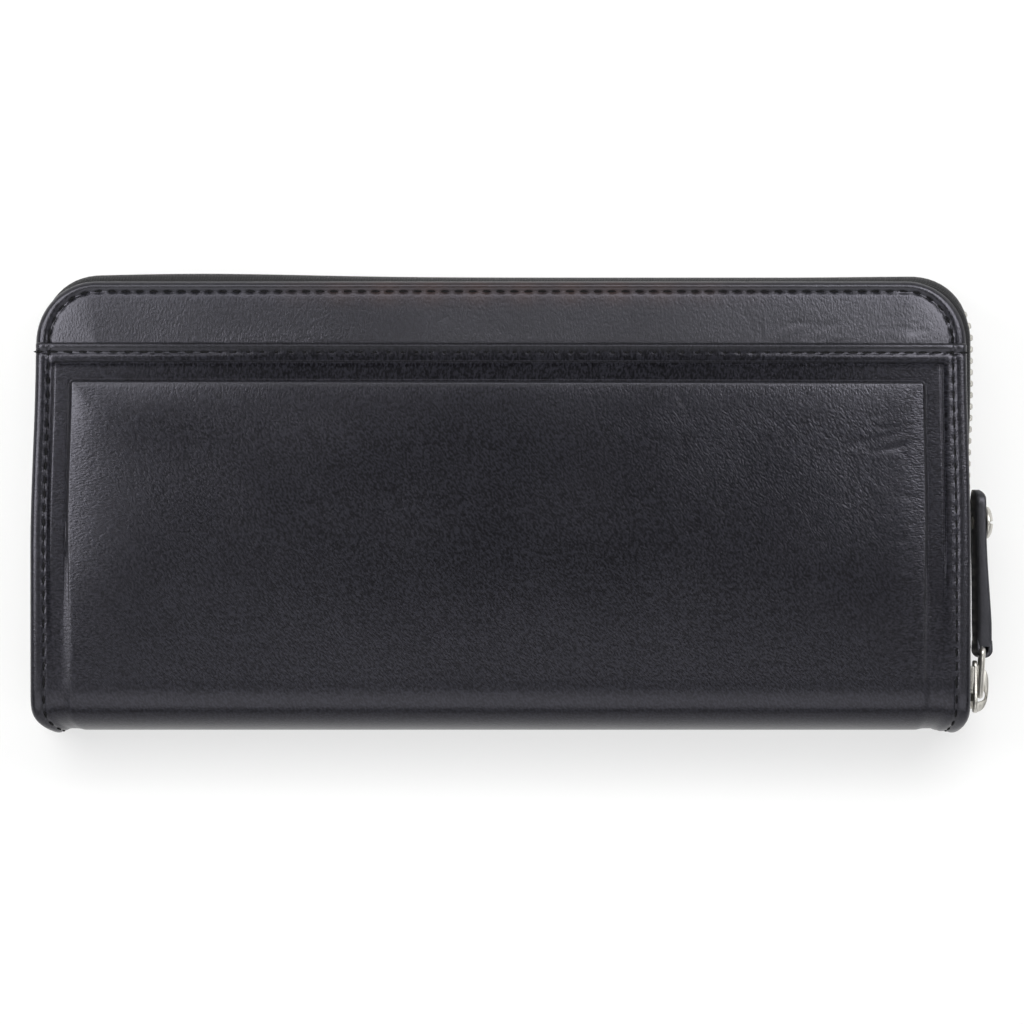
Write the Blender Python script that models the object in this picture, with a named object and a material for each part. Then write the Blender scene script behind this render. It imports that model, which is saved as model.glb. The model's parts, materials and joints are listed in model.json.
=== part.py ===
"""Zip-around long wallet, closed and lying on its front cover.

The frame is in metres. X runs along the spine, +Y points from the spine to the zip's long run,
and +Z points up through the thickness, out of the rear cover with the slip pocket. The origin is
the middle of the front cover's flat raised field, on the surface that the wallet lies on.
"""

import math

import bmesh
import bpy
from mathutils import Matrix, Vector

MM = 0.001

# Outer shell
WIDTH = 205 * MM
HEIGHT = 98 * MM
CORNER_RADIUS = 13.5 * MM
SPINE_DEPTH = 11 * MM
SPINE_END_TUCK = 4.0 * MM
SPINE_CUT = 0.25 * MM
SPINE_LINING_INSET = 3.0 * MM

# Sheet thicknesses, and the gap that two seated layers keep
LEATHER = 1.1 * MM
YOKE_LEATHER = 0.9 * MM
BOARD = 0.6 * MM
LINING = 0.3 * MM
TAPE = 0.45 * MM
CARD_BASE = 0.5 * MM
CARD_LEATHER = 0.6 * MM
COIN_LEATHER = 0.7 * MM
GUSSET = 0.4 * MM
SEAT = 0.25 * MM

# Embossing: a band along the edges, a sunk channel inside it, and a raised field
BAND_RAISE = 0.35 * MM
RAISE = 0.7 * MM
BAND_LEFT = 3.9 * MM
BAND_RIGHT = 5.5 * MM
CHANNEL = 4.1 * MM
FRONT_BAND_TOP = 5.5 * MM
FIELD_CORNER = 1.2 * MM
SOFT_EDGE = 0.3 * MM
EMBOSS_SLOPE = 0.3 * MM
BOARD_PLAY = 0.65 * MM
BOARD_END = 1.0 * MM

# Slip pocket on the rear cover
YOKE_HEIGHT = 14.0 * MM
YOKE_TUCK = 6.4 * MM
HEM = 4.1 * MM
TURNED_EDGE = 3.2 * MM
POCKET_LINING_INSET = 1.6 * MM

# Room left between the layers inside
COMPARTMENT = 4.3 * MM
COIN_ROOM = 4.3 * MM
INNER_START = 1.0 * MM

# Main zip: its line against the leather's edges, its chain and its tape
ZIP_INSET_LEFT = 1.6 * MM
ZIP_INSET_RIGHT = 0.5 * MM
ZIP_INSET_TOP = 0.3 * MM
ZIP_CORNER = 12.5 * MM
TAPE_FLANGE = 4.5 * MM
TAPE_TIP = 0.93
TAPE_STEP = 0.5 * MM
REAR_BOARD_MARGIN = 1.0 * MM
MAIN_PITCH = 2.5 * MM
MAIN_TOOTH = 1.0 * MM
MAIN_BEAD = 1.65 * MM
MAIN_REACH = 2.0 * MM
MAIN_OVERLAP = 1.4 * MM
MAIN_CHAIN_THICK = 2.2 * MM

# Main slider, its ring and its leather pull
SLIDER_PARK = 3.7 * MM
CHAIN_FROM_SLIDER = 1.2 * MM
CHAIN_FROM_FOLD = 2.5 * MM
SLIDER_LENGTH = 11.5 * MM
SLIDER_PLATE = 0.9 * MM
SLIDER_PLAY = 0.3 * MM
SLIDER_WALL = 0.6 * MM
SLIDER_FLARE = 0.9 * MM
BRIDGE_WIDTH = 2.6 * MM
BRIDGE_THICK = 0.8 * MM
WIRE = 1.3 * MM
WIRE_PLAY = 0.25 * MM
RING_SET_BACK = 1.9 * MM
RING_LENGTH = 10.0 * MM
RING_WIDTH = 8.6 * MM
RING_LEAN = 1.5
PULL_LEATHER = 1.25 * MM
PULL_LENGTH = 36.0 * MM
PULL_WIDTH = 7.6 * MM
PULL_NECK = 6.2 * MM
RIVET_HEAD = 6.4 * MM
RIVET_DOME = 1.7 * MM
RIVET_SHANK = 2.4 * MM
RIVET_FROM_END = 6.0 * MM
RIVET_CAP = 4.6 * MM
RIVET_SINK = 0.45 * MM
RIVET_RIM = 0.25 * MM
RIVET_PLAY = 0.12 * MM

# Card slots
CARD_SIDE = 8.5 * MM
CARD_TOP = 5.0 * MM
CARD_SLOTS = 4
CARD_STEP = 10.0 * MM
CARD_FIRST_DROP = 6.0 * MM
CARD_LIP = 5.0 * MM
CARD_TUCK = 4.0 * MM
CARD_JOG = 1.5 * MM
CARD_CORNER = 2.0 * MM

# Coin pocket in the middle, with a small zip along its top edge
COIN_SIDE = 10.5 * MM
COIN_TOP = 22.0 * MM
COIN_WALL = 0.6 * MM
COIN_WALL_INSET = 1.0 * MM
COIN_CORNER = 1.5 * MM
COIN_TAPE = 0.4 * MM
COIN_TAPE_HEIGHT = 8.0 * MM
COIN_TAPE_SHOW = 1.2 * MM
COIN_PITCH = 2.2 * MM
COIN_TOOTH = 0.9 * MM
COIN_BEAD = 0.85 * MM
COIN_REACH = 1.7 * MM
COIN_CHAIN_THICK = 1.6 * MM
COIN_SLIDER_LENGTH = 8.0 * MM
COIN_SLIDER_PLATE = 0.7 * MM
COIN_PULL_BAR = 1.1 * MM
COIN_PULL_LENGTH = 12.0 * MM
COIN_PULL_WIDTH = 4.6 * MM
COIN_END = 4.0 * MM

# Accordion gussets
GUSSET_FLAP = 3.0 * MM
GUSSET_LOW_FOLD = 6.0 * MM
GUSSET_TOP_FOLD = 22.0 * MM
GUSSET_BELOW_MOUTH = 2.5 * MM

# How far a cutter runs past what it cuts, and how many steps an arc has
BEYOND = 2.0 * MM
ARC_STEPS = 6

# Levels through the thickness, from the surface that the wallet lies on
FRONT_BORDER_IN = RAISE + LEATHER
FRONT_BOARD_Z = LEATHER + SEAT
FRONT_FLANGE_Z = FRONT_BORDER_IN + SEAT
FRONT_LINING_Z = max(FRONT_FLANGE_Z + TAPE, FRONT_BOARD_Z + BOARD) + SEAT
CARD_STACK = SEAT + CARD_BASE + SEAT + 2 * CARD_LEATHER + SEAT
FRONT_CARD_Z = FRONT_LINING_Z + LINING
COIN_Z = FRONT_CARD_Z + CARD_STACK + COMPARTMENT
COIN_ROOM_Z = COIN_Z + COIN_LEATHER
COIN_REAR_Z = COIN_ROOM_Z + COIN_ROOM
REAR_CARD_Z = COIN_REAR_Z + COIN_LEATHER + COMPARTMENT + CARD_STACK
REAR_FLANGE_Z = REAR_CARD_Z + LINING + SEAT
POCKET_LINING_Z = REAR_FLANGE_Z + max(BOARD, TAPE) + SEAT
YOKE_Z = POCKET_LINING_Z + LINING + SEAT
POCKET_BORDER_IN = YOKE_Z + YOKE_LEATHER + SEAT
POCKET_BORDER_OUT = POCKET_BORDER_IN + LEATHER
THICKNESS = POCKET_BORDER_OUT + RAISE
MIDDLE_Z = THICKNESS / 2
COIN_MIDDLE_Z = COIN_ROOM_Z + COIN_ROOM / 2

# Lines in plan
LEFT, RIGHT = -WIDTH / 2, WIDTH / 2
SPINE_Y, ZIP_SIDE_Y = -HEIGHT / 2, HEIGHT / 2
FOLD_Y = SPINE_Y + SPINE_DEPTH
PANEL_END_Y = FOLD_Y + SPINE_CUT / 2
INNER_Y = FOLD_Y + INNER_START
TOP_SLOT_Y = ZIP_SIDE_Y - CARD_TOP - CARD_FIRST_DROP
LOW_SLOT_Y = TOP_SLOT_Y - (CARD_SLOTS - 1) * CARD_STEP
MOUTH_Y = ZIP_SIDE_Y - YOKE_HEIGHT
FIELD_LEFT, FIELD_RIGHT = LEFT + BAND_LEFT + CHANNEL, RIGHT - BAND_RIGHT - CHANNEL
HINGE = Vector((0, SPINE_Y + LEATHER / 2, MIDDLE_Z))

# Main zip line
ZIP_LEFT, ZIP_RIGHT = LEFT + ZIP_INSET_LEFT, RIGHT - ZIP_INSET_RIGHT
ZIP_TOP = ZIP_SIDE_Y - ZIP_INSET_TOP
MAIN_CHAIN_HALF = MAIN_BEAD + MAIN_REACH - MAIN_OVERLAP / 2
SLIDER_Y = SPINE_Y + SLIDER_PARK + SLIDER_LENGTH / 2
CHAIN_START_Y = SLIDER_Y + SLIDER_LENGTH / 2 + CHAIN_FROM_SLIDER
CHAIN_END_Y = FOLD_Y + CHAIN_FROM_FOLD
WALL_CLEARANCE = TAPE / 2 + SEAT

# Main slider and pull, from the slider's own middle
PLATE_IN = MAIN_CHAIN_THICK / 2 + SLIDER_PLAY
PLATE_OUT = PLATE_IN + SLIDER_PLATE
RING_AXIS_X = ZIP_RIGHT + PLATE_OUT + WIRE_PLAY + WIRE / 2
RING_PIVOT = Vector((RING_AXIS_X, SLIDER_Y - RING_SET_BACK, MIDDLE_Z))
RING_DIRECTION = Vector((math.sin(math.radians(RING_LEAN)), math.cos(math.radians(RING_LEAN)), 0))
PULL_PIVOT = RING_PIVOT + RING_DIRECTION * RING_LENGTH
EYE = WIRE / 2 + WIRE_PLAY

# Coin zip line
COIN_LEFT, COIN_RIGHT = LEFT + COIN_SIDE, RIGHT - COIN_SIDE
COIN_TOP_Y = ZIP_SIDE_Y - COIN_TOP
COIN_CHAIN_Y = COIN_TOP_Y + COIN_TAPE_SHOW + SEAT + COIN_CHAIN_THICK / 2
COIN_SLIDER_X = COIN_RIGHT - COIN_END - COIN_SLIDER_LENGTH / 2
COIN_PLATE_IN = COIN_CHAIN_THICK / 2 + SLIDER_PLAY
COIN_PLATE_OUT = COIN_PLATE_IN + COIN_SLIDER_PLATE
COIN_PULL_PIVOT = Vector((
    COIN_SLIDER_X,
    COIN_CHAIN_Y + COIN_PLATE_OUT + WIRE_PLAY + COIN_PULL_BAR / 2,
    COIN_MIDDLE_Z,
))

# Bodies that move, each with the point on its joint's axis and the body that carries it
PIVOTS = {
    "front_cover": (Vector((0, 0, 0)), None),
    "coin_pocket": (HINGE, "front_cover"),
    "rear_cover": (HINGE, "coin_pocket"),
    "zip_slider": (Vector((ZIP_RIGHT, SLIDER_Y, MIDDLE_Z)), "front_cover"),
    "pull_ring": (RING_PIVOT, "zip_slider"),
    "pull_tab": (PULL_PIVOT, "pull_ring"),
    "coin_slider": (Vector((COIN_SLIDER_X, COIN_CHAIN_Y, COIN_MIDDLE_Z)), "coin_pocket"),
    "coin_pull": (COIN_PULL_PIVOT, "coin_slider"),
}

# Finishes: colour, roughness, metallic
FINISHES = {
    "black_leather": ((0.022, 0.022, 0.025), 0.42, 0.0),
    "inner_leather": ((0.020, 0.020, 0.022), 0.55, 0.0),
    "lining_cloth": ((0.030, 0.030, 0.033), 0.85, 0.0),
    "board": ((0.20, 0.18, 0.15), 0.9, 0.0),
    "zip_tape": ((0.016, 0.016, 0.017), 0.85, 0.0),
    "nickel": ((0.62, 0.60, 0.56), 0.32, 1.0),
}


def clear_scene():
    for obj in list(bpy.data.objects):
        bpy.data.objects.remove(obj, do_unlink=True)


def finish(name):
    """One Principled material for each named finish."""
    material = bpy.data.materials.get(name)
    if material is None:
        material = bpy.data.materials.new(name)
        material.use_nodes = True
        colour, roughness, metallic = FINISHES[name]
        shader = material.node_tree.nodes["Principled BSDF"]
        shader.inputs["Base Color"].default_value = (*colour, 1)
        shader.inputs["Roughness"].default_value = roughness
        shader.inputs["Metallic"].default_value = metallic
    return material


def make_pivots():
    """An empty on each joint's axis, nested as the bodies are."""
    for body, (point, carrier) in PIVOTS.items():
        empty = bpy.data.objects.new(body + "_pivot", None)
        bpy.context.scene.collection.objects.link(empty)
        empty.location = point
        if carrier:
            empty.parent = bpy.data.objects[carrier + "_pivot"]
            empty.location = point - PIVOTS[carrier][0]


def piece(name, shape, look, body, helper=False):
    """Makes a named object from a mesh in world coordinates and hangs it on its body's pivot."""
    bmesh.ops.recalc_face_normals(shape, faces=shape.faces)
    bmesh.ops.translate(shape, verts=shape.verts, vec=-PIVOTS[body][0])
    mesh = bpy.data.meshes.new(name)
    shape.to_mesh(mesh)
    shape.free()
    obj = bpy.data.objects.new(name, mesh)
    bpy.context.scene.collection.objects.link(obj)
    obj.parent = bpy.data.objects[body + "_pivot"]
    if helper:
        obj.hide_render = True
        obj.display_type = "WIRE"
    else:
        mesh.materials.append(finish(look))
    return obj


def combine(obj, body, steps):
    """Adds one live Boolean for each (operation, shape) in turn, with the shape kept as a hidden helper."""
    for number, (operation, shape) in enumerate(steps, start=1):
        label = f"{operation.lower()}_{number}"
        helper = piece(f"{obj.name}_{label}", shape, None, body, helper=True)
        modifier = obj.modifiers.new(label, "BOOLEAN")
        modifier.operation = operation
        modifier.object = helper
        modifier.solver = "EXACT"


def round_off(obj, angle=40):
    """Smooth shading with the real edges kept sharp."""
    obj.data.shade_smooth()
    obj.data.set_sharp_from_angle(angle=math.radians(angle))


def arc(centre, radius, start, end, steps=ARC_STEPS):
    """Points on an arc, angles in degrees."""
    turn = [math.radians(start + (end - start) * i / steps) for i in range(steps + 1)]
    return [(centre[0] + radius * math.cos(a), centre[1] + radius * math.sin(a)) for a in turn]


def cover_outline(inset, low_y):
    """A cover's outline: straight across at low_y, with the two round corners on the zip side."""
    radius = CORNER_RADIUS - inset
    left, right, top = LEFT + inset, RIGHT - inset, ZIP_SIDE_Y - inset
    right_corner = arc((right - radius, top - radius), radius, 0, 90)
    left_corner = arc((left + radius, top - radius), radius, 90, 180)
    return [(right, low_y), *right_corner, *left_corner, (left, low_y)]


def zip_outline(inset, low_y):
    """The zip line's outline drawn in by inset, for what lies inside the tape's walls."""
    radius = ZIP_CORNER - inset
    left, right, top = ZIP_LEFT + inset, ZIP_RIGHT - inset, ZIP_TOP - inset
    right_corner = arc((right - radius, top - radius), radius, 0, 90)
    left_corner = arc((left + radius, top - radius), radius, 90, 180)
    return [(right, low_y), *right_corner, *left_corner, (left, low_y)]


def rectangle(left, low, right, high, radius=0.0, steps=3):
    """A rectangle, with round corners if radius is given."""
    if radius <= 0:
        return [(left, low), (right, low), (right, high), (left, high)]
    return [
        *arc((left + radius, low + radius), radius, 180, 270, steps),
        *arc((right - radius, low + radius), radius, 270, 360, steps),
        *arc((right - radius, high - radius), radius, 0, 90, steps),
        *arc((left + radius, high - radius), radius, 90, 180, steps),
    ]


def prism(outline, low, high, soften=0.0, soft_sides="", steps=1):
    """Extrudes an outline from low to high along Z. soft_sides names the rims that are rounded."""
    shape = bmesh.new()
    base = [shape.verts.new((x, y, low)) for x, y in outline]
    top = [shape.verts.new((x, y, high)) for x, y in outline]
    shape.faces.new(base)
    shape.faces.new(top)
    for i in range(len(outline)):
        j = (i + 1) % len(outline)
        shape.faces.new((base[i], base[j], top[j], top[i]))
    if soften > 0:
        rims = []
        for side, ring in (("low", base), ("high", top)):
            if side in soft_sides:
                chosen = set(ring)
                rims += [e for e in shape.edges if e.verts[0] in chosen and e.verts[1] in chosen]
        bmesh.ops.bevel(shape, geom=rims, offset=soften, segments=steps, profile=0.5, affect="EDGES")
    return shape


def turned(shape, axes, origin):
    """Moves a shape drawn on X, Y, Z so that these lie along the given axes from the origin."""
    matrix = Matrix.Translation(origin) @ Matrix(axes).transposed().to_4x4()
    bmesh.ops.transform(shape, matrix=matrix, verts=shape.verts)
    return shape


def turn_over(shape):
    """Turns a shape upside down about the surface that the wallet lies on."""
    for vertex in shape.verts:
        vertex.co.z = -vertex.co.z


def loft(sections, closed=False):
    """Joins sections of equally many points into one closed solid, capped unless the row is closed."""
    shape = bmesh.new()
    rings = [[shape.verts.new(point) for point in section] for section in sections]
    count = len(rings[0])
    pairs = list(zip(rings, rings[1:]))
    if closed:
        pairs.append((rings[-1], rings[0]))
    for ring, following in pairs:
        for i in range(count):
            j = (i + 1) % count
            shape.faces.new((ring[i], ring[j], following[j], following[i]))
    if not closed:
        shape.faces.new(rings[0])
        shape.faces.new(rings[-1])
    return shape


def strip(path, thickness):
    """The outline of a sheet of this thickness bent along a path in a plane."""
    sides = [[], []]
    for i, point in enumerate(path):
        before = Vector(path[max(i - 1, 0)])
        after = Vector(path[min(i + 1, len(path) - 1)])
        here = Vector(point)
        steps = [(b - a).normalized() for a, b in ((before, here), (here, after)) if (b - a).length > 0]
        normals = [Vector((-step.y, step.x)) for step in steps]
        mitre = sum(normals, Vector((0, 0))).normalized()
        reach = thickness / 2 / mitre.dot(normals[0])
        sides[0].append(tuple(here + mitre * reach))
        sides[1].append(tuple(here - mitre * reach))
    return sides[0] + sides[1][::-1]


def zip_station(distance):
    """(point, outward normal) on the main zip line, at this distance from the chain's first tooth."""
    right_run = ZIP_TOP - ZIP_CORNER - CHAIN_START_Y
    corner = ZIP_CORNER * math.pi / 2
    top_run = ZIP_RIGHT - ZIP_LEFT - 2 * ZIP_CORNER
    if distance <= right_run:
        return Vector((ZIP_RIGHT, CHAIN_START_Y + distance)), Vector((1, 0))
    distance -= right_run
    if distance <= corner:
        angle = distance / ZIP_CORNER
        normal = Vector((math.cos(angle), math.sin(angle)))
        return Vector((ZIP_RIGHT - ZIP_CORNER, ZIP_TOP - ZIP_CORNER)) + normal * ZIP_CORNER, normal
    distance -= corner
    if distance <= top_run:
        return Vector((ZIP_RIGHT - ZIP_CORNER - distance, ZIP_TOP)), Vector((0, 1))
    distance -= top_run
    if distance <= corner:
        angle = math.pi / 2 + distance / ZIP_CORNER
        normal = Vector((math.cos(angle), math.sin(angle)))
        return Vector((ZIP_LEFT + ZIP_CORNER, ZIP_TOP - ZIP_CORNER)) + normal * ZIP_CORNER, normal
    distance -= corner
    return Vector((ZIP_LEFT, ZIP_TOP - ZIP_CORNER - distance)), Vector((-1, 0))


def zip_length(end_y):
    """Distance along the zip line from the first tooth to end_y on the left run."""
    straight = (ZIP_TOP - ZIP_CORNER - CHAIN_START_Y) + (ZIP_TOP - ZIP_CORNER - end_y)
    return straight + ZIP_CORNER * math.pi + ZIP_RIGHT - ZIP_LEFT - 2 * ZIP_CORNER


def spine_half_depth(offset):
    """Half axes, in Y and Z, of the spine's oval at this depth under its raised surface."""
    return SPINE_DEPTH - offset, MIDDLE_Z - offset


def field_outline(top_y, inset=0.0, low_y=PANEL_END_Y - BEYOND):
    """The raised field's outline, drawn in by inset and open towards the spine."""
    left, right, top = FIELD_LEFT + inset, FIELD_RIGHT - inset, top_y - inset
    radius = FIELD_CORNER
    right_corner = arc((right - radius, top - radius), radius, 0, 90, 3)
    left_corner = arc((left + radius, top - radius), radius, 90, 180, 3)
    return [(right, low_y), *right_corner, *left_corner, (left, low_y)]


def embossing(field_top, channel_top, level, inner):
    """Steps that emboss a panel drawn outer side up: channel, raised field, the board's bed, straight end."""
    low = PANEL_END_Y - 2 * BEYOND
    channel = prism(
        rectangle(LEFT + BAND_LEFT, low, RIGHT - BAND_RIGHT, channel_top, FIELD_CORNER),
        level, level + BAND_RAISE + BEYOND,
    )
    field = prism(field_outline(field_top), level - LEATHER / 2, level + RAISE, SOFT_EDGE, "high")
    bed = prism(field_outline(field_top, LEATHER, low), inner - BEYOND, level + RAISE - LEATHER)
    end = prism(
        rectangle(LEFT - BEYOND, low - BEYOND, RIGHT + BEYOND, PANEL_END_Y),
        inner - BEYOND, level + RAISE + BEYOND,
    )
    return [("DIFFERENCE", channel), ("UNION", field), ("DIFFERENCE", bed), ("DIFFERENCE", end)]


def build_front_panel():
    """The plain front cover, drawn outer side up as the rear one is, and then turned over."""
    level = -RAISE
    inner = level - LEATHER
    channel_top = ZIP_SIDE_Y - FRONT_BAND_TOP
    field_top = channel_top - CHANNEL
    plate = prism(
        cover_outline(0, PANEL_END_Y - BEYOND / 2), inner, level + BAND_RAISE, SOFT_EDGE, "high", 2,
    )
    steps = embossing(field_top, channel_top, level, inner)
    for shape in (plate, *(shape for _, shape in steps)):
        turn_over(shape)
    panel = piece("front_outer_panel", plate, "black_leather", "front_cover")
    combine(panel, "front_cover", steps)
    board = prism(
        field_outline(field_top, LEATHER + BOARD_PLAY, FOLD_Y + BOARD_END),
        FRONT_BOARD_Z, FRONT_BOARD_Z + BOARD,
    )
    piece("front_board", board, "board", "front_cover")


def build_rear_panels():
    """The yoke at the top, and the pocket panel that overlaps it with a hem and a turned edge."""
    yoke_low = MOUTH_Y - YOKE_TUCK
    yoke = prism(
        cover_outline(0, yoke_low), YOKE_Z, YOKE_Z + YOKE_LEATHER, SOFT_EDGE, "high", 2,
    )
    piece("rear_yoke", yoke, "black_leather", "rear_cover")

    level = POCKET_BORDER_OUT
    channel_top = MOUTH_Y - HEM
    field_top = channel_top - CHANNEL
    plate = prism(
        rectangle(LEFT, PANEL_END_Y - BEYOND / 2, RIGHT, MOUTH_Y),
        YOKE_Z, level + BAND_RAISE, SOFT_EDGE, "high", 2,
    )
    pocket_room = prism(
        rectangle(
            LEFT + TURNED_EDGE, PANEL_END_Y + TURNED_EDGE,
            RIGHT - TURNED_EDGE, MOUTH_Y + BEYOND,
        ),
        YOKE_Z - BEYOND, POCKET_BORDER_IN,
    )
    yoke_room = prism(
        rectangle(LEFT - BEYOND, yoke_low - SEAT, RIGHT + BEYOND, MOUTH_Y + BEYOND),
        YOKE_Z - BEYOND, POCKET_BORDER_IN,
    )
    panel = piece("rear_pocket_panel", plate, "black_leather", "rear_cover")
    steps = embossing(field_top, channel_top, level, YOKE_Z)
    steps += [("DIFFERENCE", pocket_room), ("DIFFERENCE", yoke_room)]
    combine(panel, "rear_cover", steps)

    board_top = level + RAISE - LEATHER - SEAT
    pocket_board = prism(
        field_outline(field_top, LEATHER + BOARD_PLAY, PANEL_END_Y + TURNED_EDGE + SEAT),
        board_top - BOARD, board_top,
    )
    piece("rear_pocket_board", pocket_board, "board", "rear_cover")
    lining = prism(
        cover_outline(POCKET_LINING_INSET, PANEL_END_Y + SEAT),
        POCKET_LINING_Z, POCKET_LINING_Z + LINING,
    )
    piece("slip_pocket_lining", lining, "lining_cloth", "rear_cover")
    inset = TAPE_FLANGE + ZIP_INSET_LEFT + REAR_BOARD_MARGIN
    board = prism(
        rectangle(LEFT + inset, INNER_Y, RIGHT - inset, ZIP_SIDE_Y - inset, CORNER_RADIUS / 2),
        REAR_FLANGE_Z, REAR_FLANGE_Z + BOARD,
    )
    piece("rear_board", board, "board", "rear_cover")


def spine_wrap(profile, inner):
    """A sheet round the spine's oval, its ends drawn in. profile lists (x, depth of the outer side)."""
    turns = 16
    sections = []
    for i in range(turns + 1):
        angle = math.pi * (i / turns - 0.5)
        draw_in = 1 - SPINE_END_TUCK * math.cos(angle) ** 4 / (WIDTH / 2)
        outer_row, inner_row = [], []
        for x, depth in profile:
            for row, offset in ((outer_row, depth), (inner_row, inner)):
                half_y, half_z = spine_half_depth(offset)
                y = FOLD_Y - SPINE_CUT / 2 - (half_y - SPINE_CUT / 2) * math.cos(angle)
                row.append((x * draw_in, y, MIDDLE_Z + half_z * math.sin(angle)))
        sections.append(outer_row + inner_row[::-1])
    return loft(sections)


def build_spine():
    """The stretch of hide that bends round the spine, with the field and the channels running over it."""
    band, channel, slope = RAISE - BAND_RAISE, RAISE, EMBOSS_SLOPE
    profile = [
        (LEFT, band), (LEFT + BAND_LEFT - slope, band), (LEFT + BAND_LEFT, channel),
        (FIELD_LEFT, channel), (FIELD_LEFT + slope, 0.0),
        (FIELD_RIGHT - slope, 0.0), (FIELD_RIGHT, channel),
        (RIGHT - BAND_RIGHT, channel), (RIGHT - BAND_RIGHT + slope, band), (RIGHT, band),
    ]
    hide = spine_wrap(profile, RAISE + LEATHER)
    round_off(piece("spine_hide", hide, "black_leather", "front_cover"))
    outer = RAISE + LEATHER + SEAT
    ends = [(LEFT + SPINE_LINING_INSET, outer), (RIGHT - SPINE_LINING_INSET, outer)]
    lining = spine_wrap(ends, outer + LINING)
    round_off(piece("spine_lining", lining, "lining_cloth", "front_cover"))


def tape_section(distance, flange_z, edge_z, outward):
    """A tape's cross-section: a flange sewn under the cover's edge and a wall that stands to the chain."""
    point, normal = zip_station(distance)
    past_fold = FOLD_Y - point.y
    flange = TAPE_FLANGE
    if past_fold > 0:
        half_y, half_z = spine_half_depth(RAISE + LEATHER + SEAT + LINING + SEAT)
        drop = half_z * math.sqrt(max(1 - (past_fold / half_y) ** 2, 0))
        flange_z = MIDDLE_Z - outward * drop
        flange = TAPE / 2 + SEAT
    half = TAPE / 2
    turn = flange_z + outward * TAPE
    profile = [
        (half, flange_z), (half, edge_z), (-half, edge_z),
        (-half, turn), (-flange, turn), (-flange, flange_z),
    ]
    return [(point.x + normal.x * r, point.y + normal.y * r, z) for r, z in profile]


def build_tape(name, flange_z, outward, body):
    """One side's zip tape, in one length round three sides, with its ends run down into the spine."""
    half_y = spine_half_depth(RAISE + LEATHER + SEAT + LINING + SEAT)[0]
    edge_z = MIDDLE_Z - outward * (MAIN_CHAIN_HALF + SEAT)
    tip_y = FOLD_Y - half_y * TAPE_TIP
    right_run = ZIP_TOP - ZIP_CORNER - CHAIN_START_Y
    corner = ZIP_CORNER * math.pi / 2
    top_run = ZIP_RIGHT - ZIP_LEFT - 2 * ZIP_CORNER
    start, end = tip_y - CHAIN_START_Y, zip_length(tip_y)
    tail = FOLD_Y - tip_y
    tail_steps = 4
    tail_marks = [(tail - TAPE_STEP / 4) * i / tail_steps for i in range(tail_steps + 1)]
    tail_marks.append(tail + TAPE_STEP)
    turn = [corner * i / (2 * ARC_STEPS) for i in range(2 * ARC_STEPS + 1)]
    stations = [start + mark for mark in tail_marks]
    stations += [right_run + t for t in turn]
    stations += [right_run + corner + top_run + t for t in turn]
    stations += [end - mark for mark in reversed(tail_marks)]
    tape = loft([tape_section(d, flange_z, edge_z, outward) for d in stations])
    piece(name, tape, "zip_tape", body)


def comb(sections, teeth, reach):
    """A bead with teeth drawn out of it. teeth holds the numbers of the stretches that have one."""
    shape = bmesh.new()
    rings = [[shape.verts.new(point) for point in section] for section in sections]
    roots = []
    for number, (ring, following) in enumerate(zip(rings, rings[1:])):
        for i in range(4):
            j = (i + 1) % 4
            face = shape.faces.new((ring[i], ring[j], following[j], following[i]))
            if i == 1 and number in teeth:
                roots.append(face)
    shape.faces.new(rings[0])
    shape.faces.new(rings[-1])
    bmesh.ops.recalc_face_normals(shape, faces=shape.faces)
    drawn = bmesh.ops.extrude_discrete_faces(shape, faces=roots)["faces"]
    tips = {vertex for face in drawn for vertex in face.verts}
    bmesh.ops.translate(shape, verts=list(tips), vec=reach)
    return shape


def tooth_row(length, pitch, tooth, phase):
    """Distances of each tooth's two flanks along a chain, and the numbers of the toothed stretches."""
    count = int(length / pitch)
    marks = [0.0]
    for i in range(count):
        centre = (i + phase) * pitch
        marks += [centre - tooth / 2, centre + tooth / 2]
    marks.append(count * pitch)
    return marks, set(range(1, len(marks) - 1, 2))


def build_main_teeth(name, side, body):
    """One side's metal teeth on the tape's bead; side is -1 under the zip's middle and 1 above it."""
    marks, teeth = tooth_row(zip_length(CHAIN_END_Y), MAIN_PITCH, MAIN_TOOTH, 0.5 + side * 0.25)
    root_z = MIDDLE_Z + side * MAIN_CHAIN_HALF
    bead_z = root_z - side * MAIN_BEAD
    half = MAIN_CHAIN_THICK / 2
    sections = []
    for distance in marks:
        point, normal = zip_station(distance)
        corners = [(half, root_z), (half, bead_z), (-half, bead_z), (-half, root_z)]
        sections.append([(point.x + normal.x * r, point.y + normal.y * r, z) for r, z in corners])
    shape = comb(sections, teeth, Vector((0, 0, -side * MAIN_REACH)))
    piece(name, shape, "nickel", body)


def build_linings():
    """The cloth that faces each cover's inside, within the tape's walls."""
    outline = zip_outline(WALL_CLEARANCE, INNER_Y)
    front = prism(outline, FRONT_LINING_Z, FRONT_LINING_Z + LINING)
    piece("front_lining", front, "lining_cloth", "front_cover")
    rear = prism(outline, REAR_CARD_Z, REAR_CARD_Z + LINING)
    piece("rear_lining", rear, "lining_cloth", "rear_cover")


def card_slot(number):
    """A slot's side view, as (y, height): its foot under the slot below, its lip over the one above."""
    mouth = LOW_SLOT_Y + number * CARD_STEP
    foot = mouth - CARD_STEP - CARD_TUCK if number else INNER_Y
    lip = CARD_LEATHER + SEAT
    jog_high = mouth - CARD_LIP
    lower = [(foot, 0.0), (jog_high - CARD_JOG, 0.0), (jog_high, lip), (mouth, lip)]
    upper = [(y, z + CARD_LEATHER) for y, z in lower]
    return lower + upper[::-1]


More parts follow.
